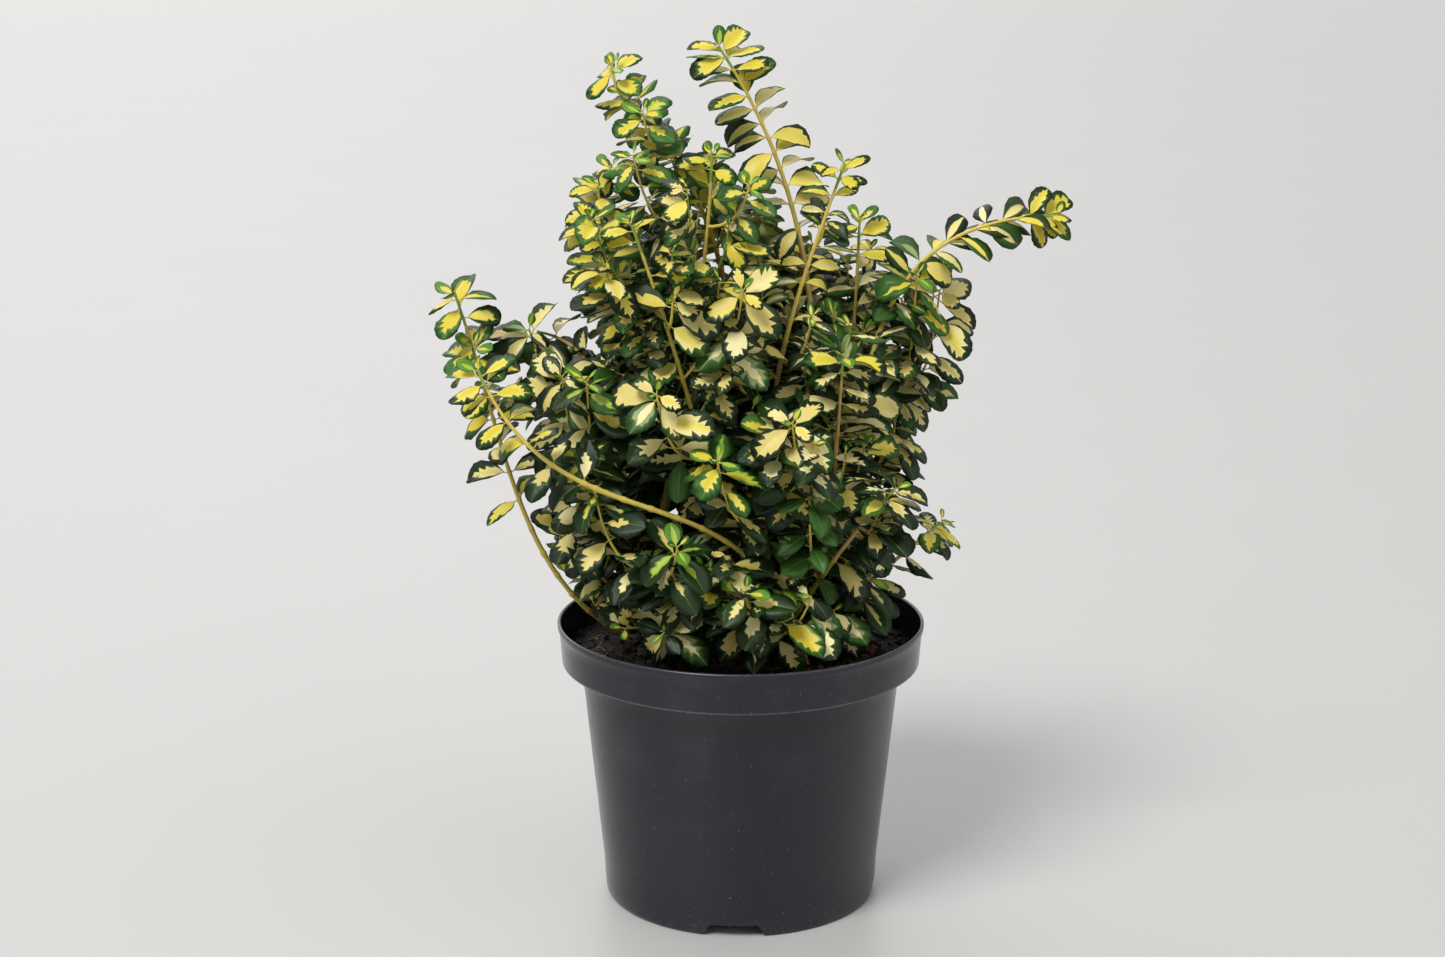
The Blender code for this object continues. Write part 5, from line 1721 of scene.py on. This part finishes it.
class EUONYMUS_OT_foliage(bpy.types.Operator):
    """Grows the leaders, side twigs and two-toned leaves of every mass of foliage"""
    bl_idname = "euonymus.grow_foliage"
    bl_label = "Grow twigs and leaves"

    def execute(self, context):
        settings = context.scene.euonymus_leaf
        leaf_materials = []
        for name, rgb in TONES.items():
            roughness = 0.62 if name.startswith("under") else settings.gloss
            leaf_materials.append(plain(f"leaf_{name}", rgb, roughness, 0.30))
        twig_materials = [plain(name, rgb, 0.5) for name, rgb in TWIG_TONES.items()]
        crown, room = Crown(), Room(settings.apart)
        twigs = {group: Batch() for group in GROUPS}
        group_of = {name: group for group, names in GROUPS.items() for name in names}
        growths = [Growth(shoot, crown, room, settings, twigs[group_of[shoot.name]]) for shoot in SHOOTS]
        for growth in growths:
            for *tip, kind in STARS.get(growth.shoot.name, ()):
                growth.add_star(Vector(tip), kind)
        for growth in growths:
            growth.grow()
        leaves = [leaf for growth in growths for leaf in growth.leaves]
        owners = [group_of[growth.shoot.name] for growth in growths for _ in growth.leaves]
        batches = leaf_batches(leaves, owners, settings)
        for group, names in GROUPS.items():
            nodes = [f"{name}_foliage" for name in names]
            piece = batches[group].build(f"leaves_{group}", leaf_materials)
            if len(piece.data.polygons) * 2 > MOST_TRIANGLES:
                raise RuntimeError(f"{piece.name} has too many triangles: its group has to be split")
            dress(piece, nodes)
            dress(twigs[group].build(f"twigs_{group}", twig_materials), nodes)
        return {"FINISHED"}


# Stage

FLOOR_SIZE = 90.0
SENSOR_WIDTH = 36.0
KEY_TINT = (1.0, 0.985, 0.96)


def sun_light(name, way, strength, softness, rgb=(1.0, 1.0, 1.0)):
    data = bpy.data.lights.new(name, "SUN")
    data.energy = strength
    data.angle = softness
    data.color = rgb
    light = place_object(name, data)
    light.rotation_euler = Vector(way).to_track_quat("-Z", "Y").to_euler()


def floor_material(settings):
    g = Graph("pale_floor")
    tone = g.spread(g.noise(3.0, 4.0, 0.5), 0.3, 0.7)
    floor = tuple(settings.floor)
    base = g.mix(tone, tuple(c * 0.985 for c in floor), floor)
    return g.finish(base, 0.42)


class EUONYMUS_OT_stage(bpy.types.Operator):
    """Sets the pale floor, the soft lights and the camera"""
    bl_idname = "euonymus.set_stage"
    bl_label = "Set the stage"

    def execute(self, context):
        settings = context.scene.euonymus_stage
        scene = context.scene
        bm = bmesh.new()
        bmesh.ops.create_grid(bm, x_segments=8, y_segments=8, size=FLOOR_SIZE)
        mesh = mesh_of("floor", bm)
        mesh.materials.append(floor_material(settings))
        floor = place_object("floor", mesh)
        world = bpy.data.worlds.new("pale_room")
        world.use_nodes = True
        background = world.node_tree.nodes["Background"]
        background.inputs["Color"].default_value = (*settings.surround, 1.0)
        background.inputs["Strength"].default_value = settings.surround_strength
        scene.world = world
        sun_light("key", settings.key_way, settings.key, settings.key_softness, KEY_TINT)
        sun_light("fill", settings.fill_way, settings.fill, settings.fill_softness)
        sun_light("back", settings.back_way, settings.back, settings.fill_softness)
        camera_data = bpy.data.cameras.new("camera")
        camera_data.lens = settings.lens
        camera_data.sensor_width = SENSOR_WIDTH
        camera_data.sensor_fit = "HORIZONTAL"
        camera_data.clip_start = 0.01
        camera_data.clip_end = 200.0
        camera = place_object("camera", camera_data)
        camera.location = (settings.side, -settings.distance, settings.height)
        camera.rotation_euler = (math.pi / 2 - settings.tilt, 0.0, 0.0)
        scene.camera = camera
        scene.view_settings.view_transform = "Standard"
        return {"FINISHED"}


class EUONYMUS_PT_panel(bpy.types.Panel):
    """Lists the steps that build the potted shrub, with their settings"""
    bl_idname = "EUONYMUS_PT_panel"
    bl_label = "Potted euonymus"
    bl_space_type = "VIEW_3D"
    bl_region_type = "UI"
    bl_category = "Euonymus"

    def draw(self, context):
        layout = self.layout
        for operator, settings in STEPS:
            box = layout.box()
            box.operator(operator.bl_idname)
            group = getattr(context.scene, settings)
            for name in group.bl_rna.properties.keys():
                if name not in ("rna_type", "name"):
                    box.prop(group, name)


STEPS = (
    (EUONYMUS_OT_pot, "euonymus_pot"),
    (EUONYMUS_OT_soil, "euonymus_soil"),
    (EUONYMUS_OT_wood, "euonymus_wood"),
    (EUONYMUS_OT_foliage, "euonymus_leaf"),
    (EUONYMUS_OT_stage, "euonymus_stage"),
)
CLASSES = (*SETTINGS.values(), *(operator for operator, _ in STEPS), EUONYMUS_PT_panel)


def register():
    for cls in CLASSES:
        bpy.utils.register_class(cls)
    for name, group in SETTINGS.items():
        setattr(bpy.types.Scene, name, PointerProperty(type=group))


def unregister():
    for name in SETTINGS:
        delattr(bpy.types.Scene, name)
    for cls in reversed(CLASSES):
        bpy.utils.unregister_class(cls)


def main():
    register()
    bpy.ops.euonymus.build_pot()
    bpy.ops.euonymus.build_soil()
    bpy.ops.euonymus.build_wood()
    bpy.ops.euonymus.grow_foliage()
    bpy.ops.euonymus.set_stage()


if __name__ == "__main__":
    main()
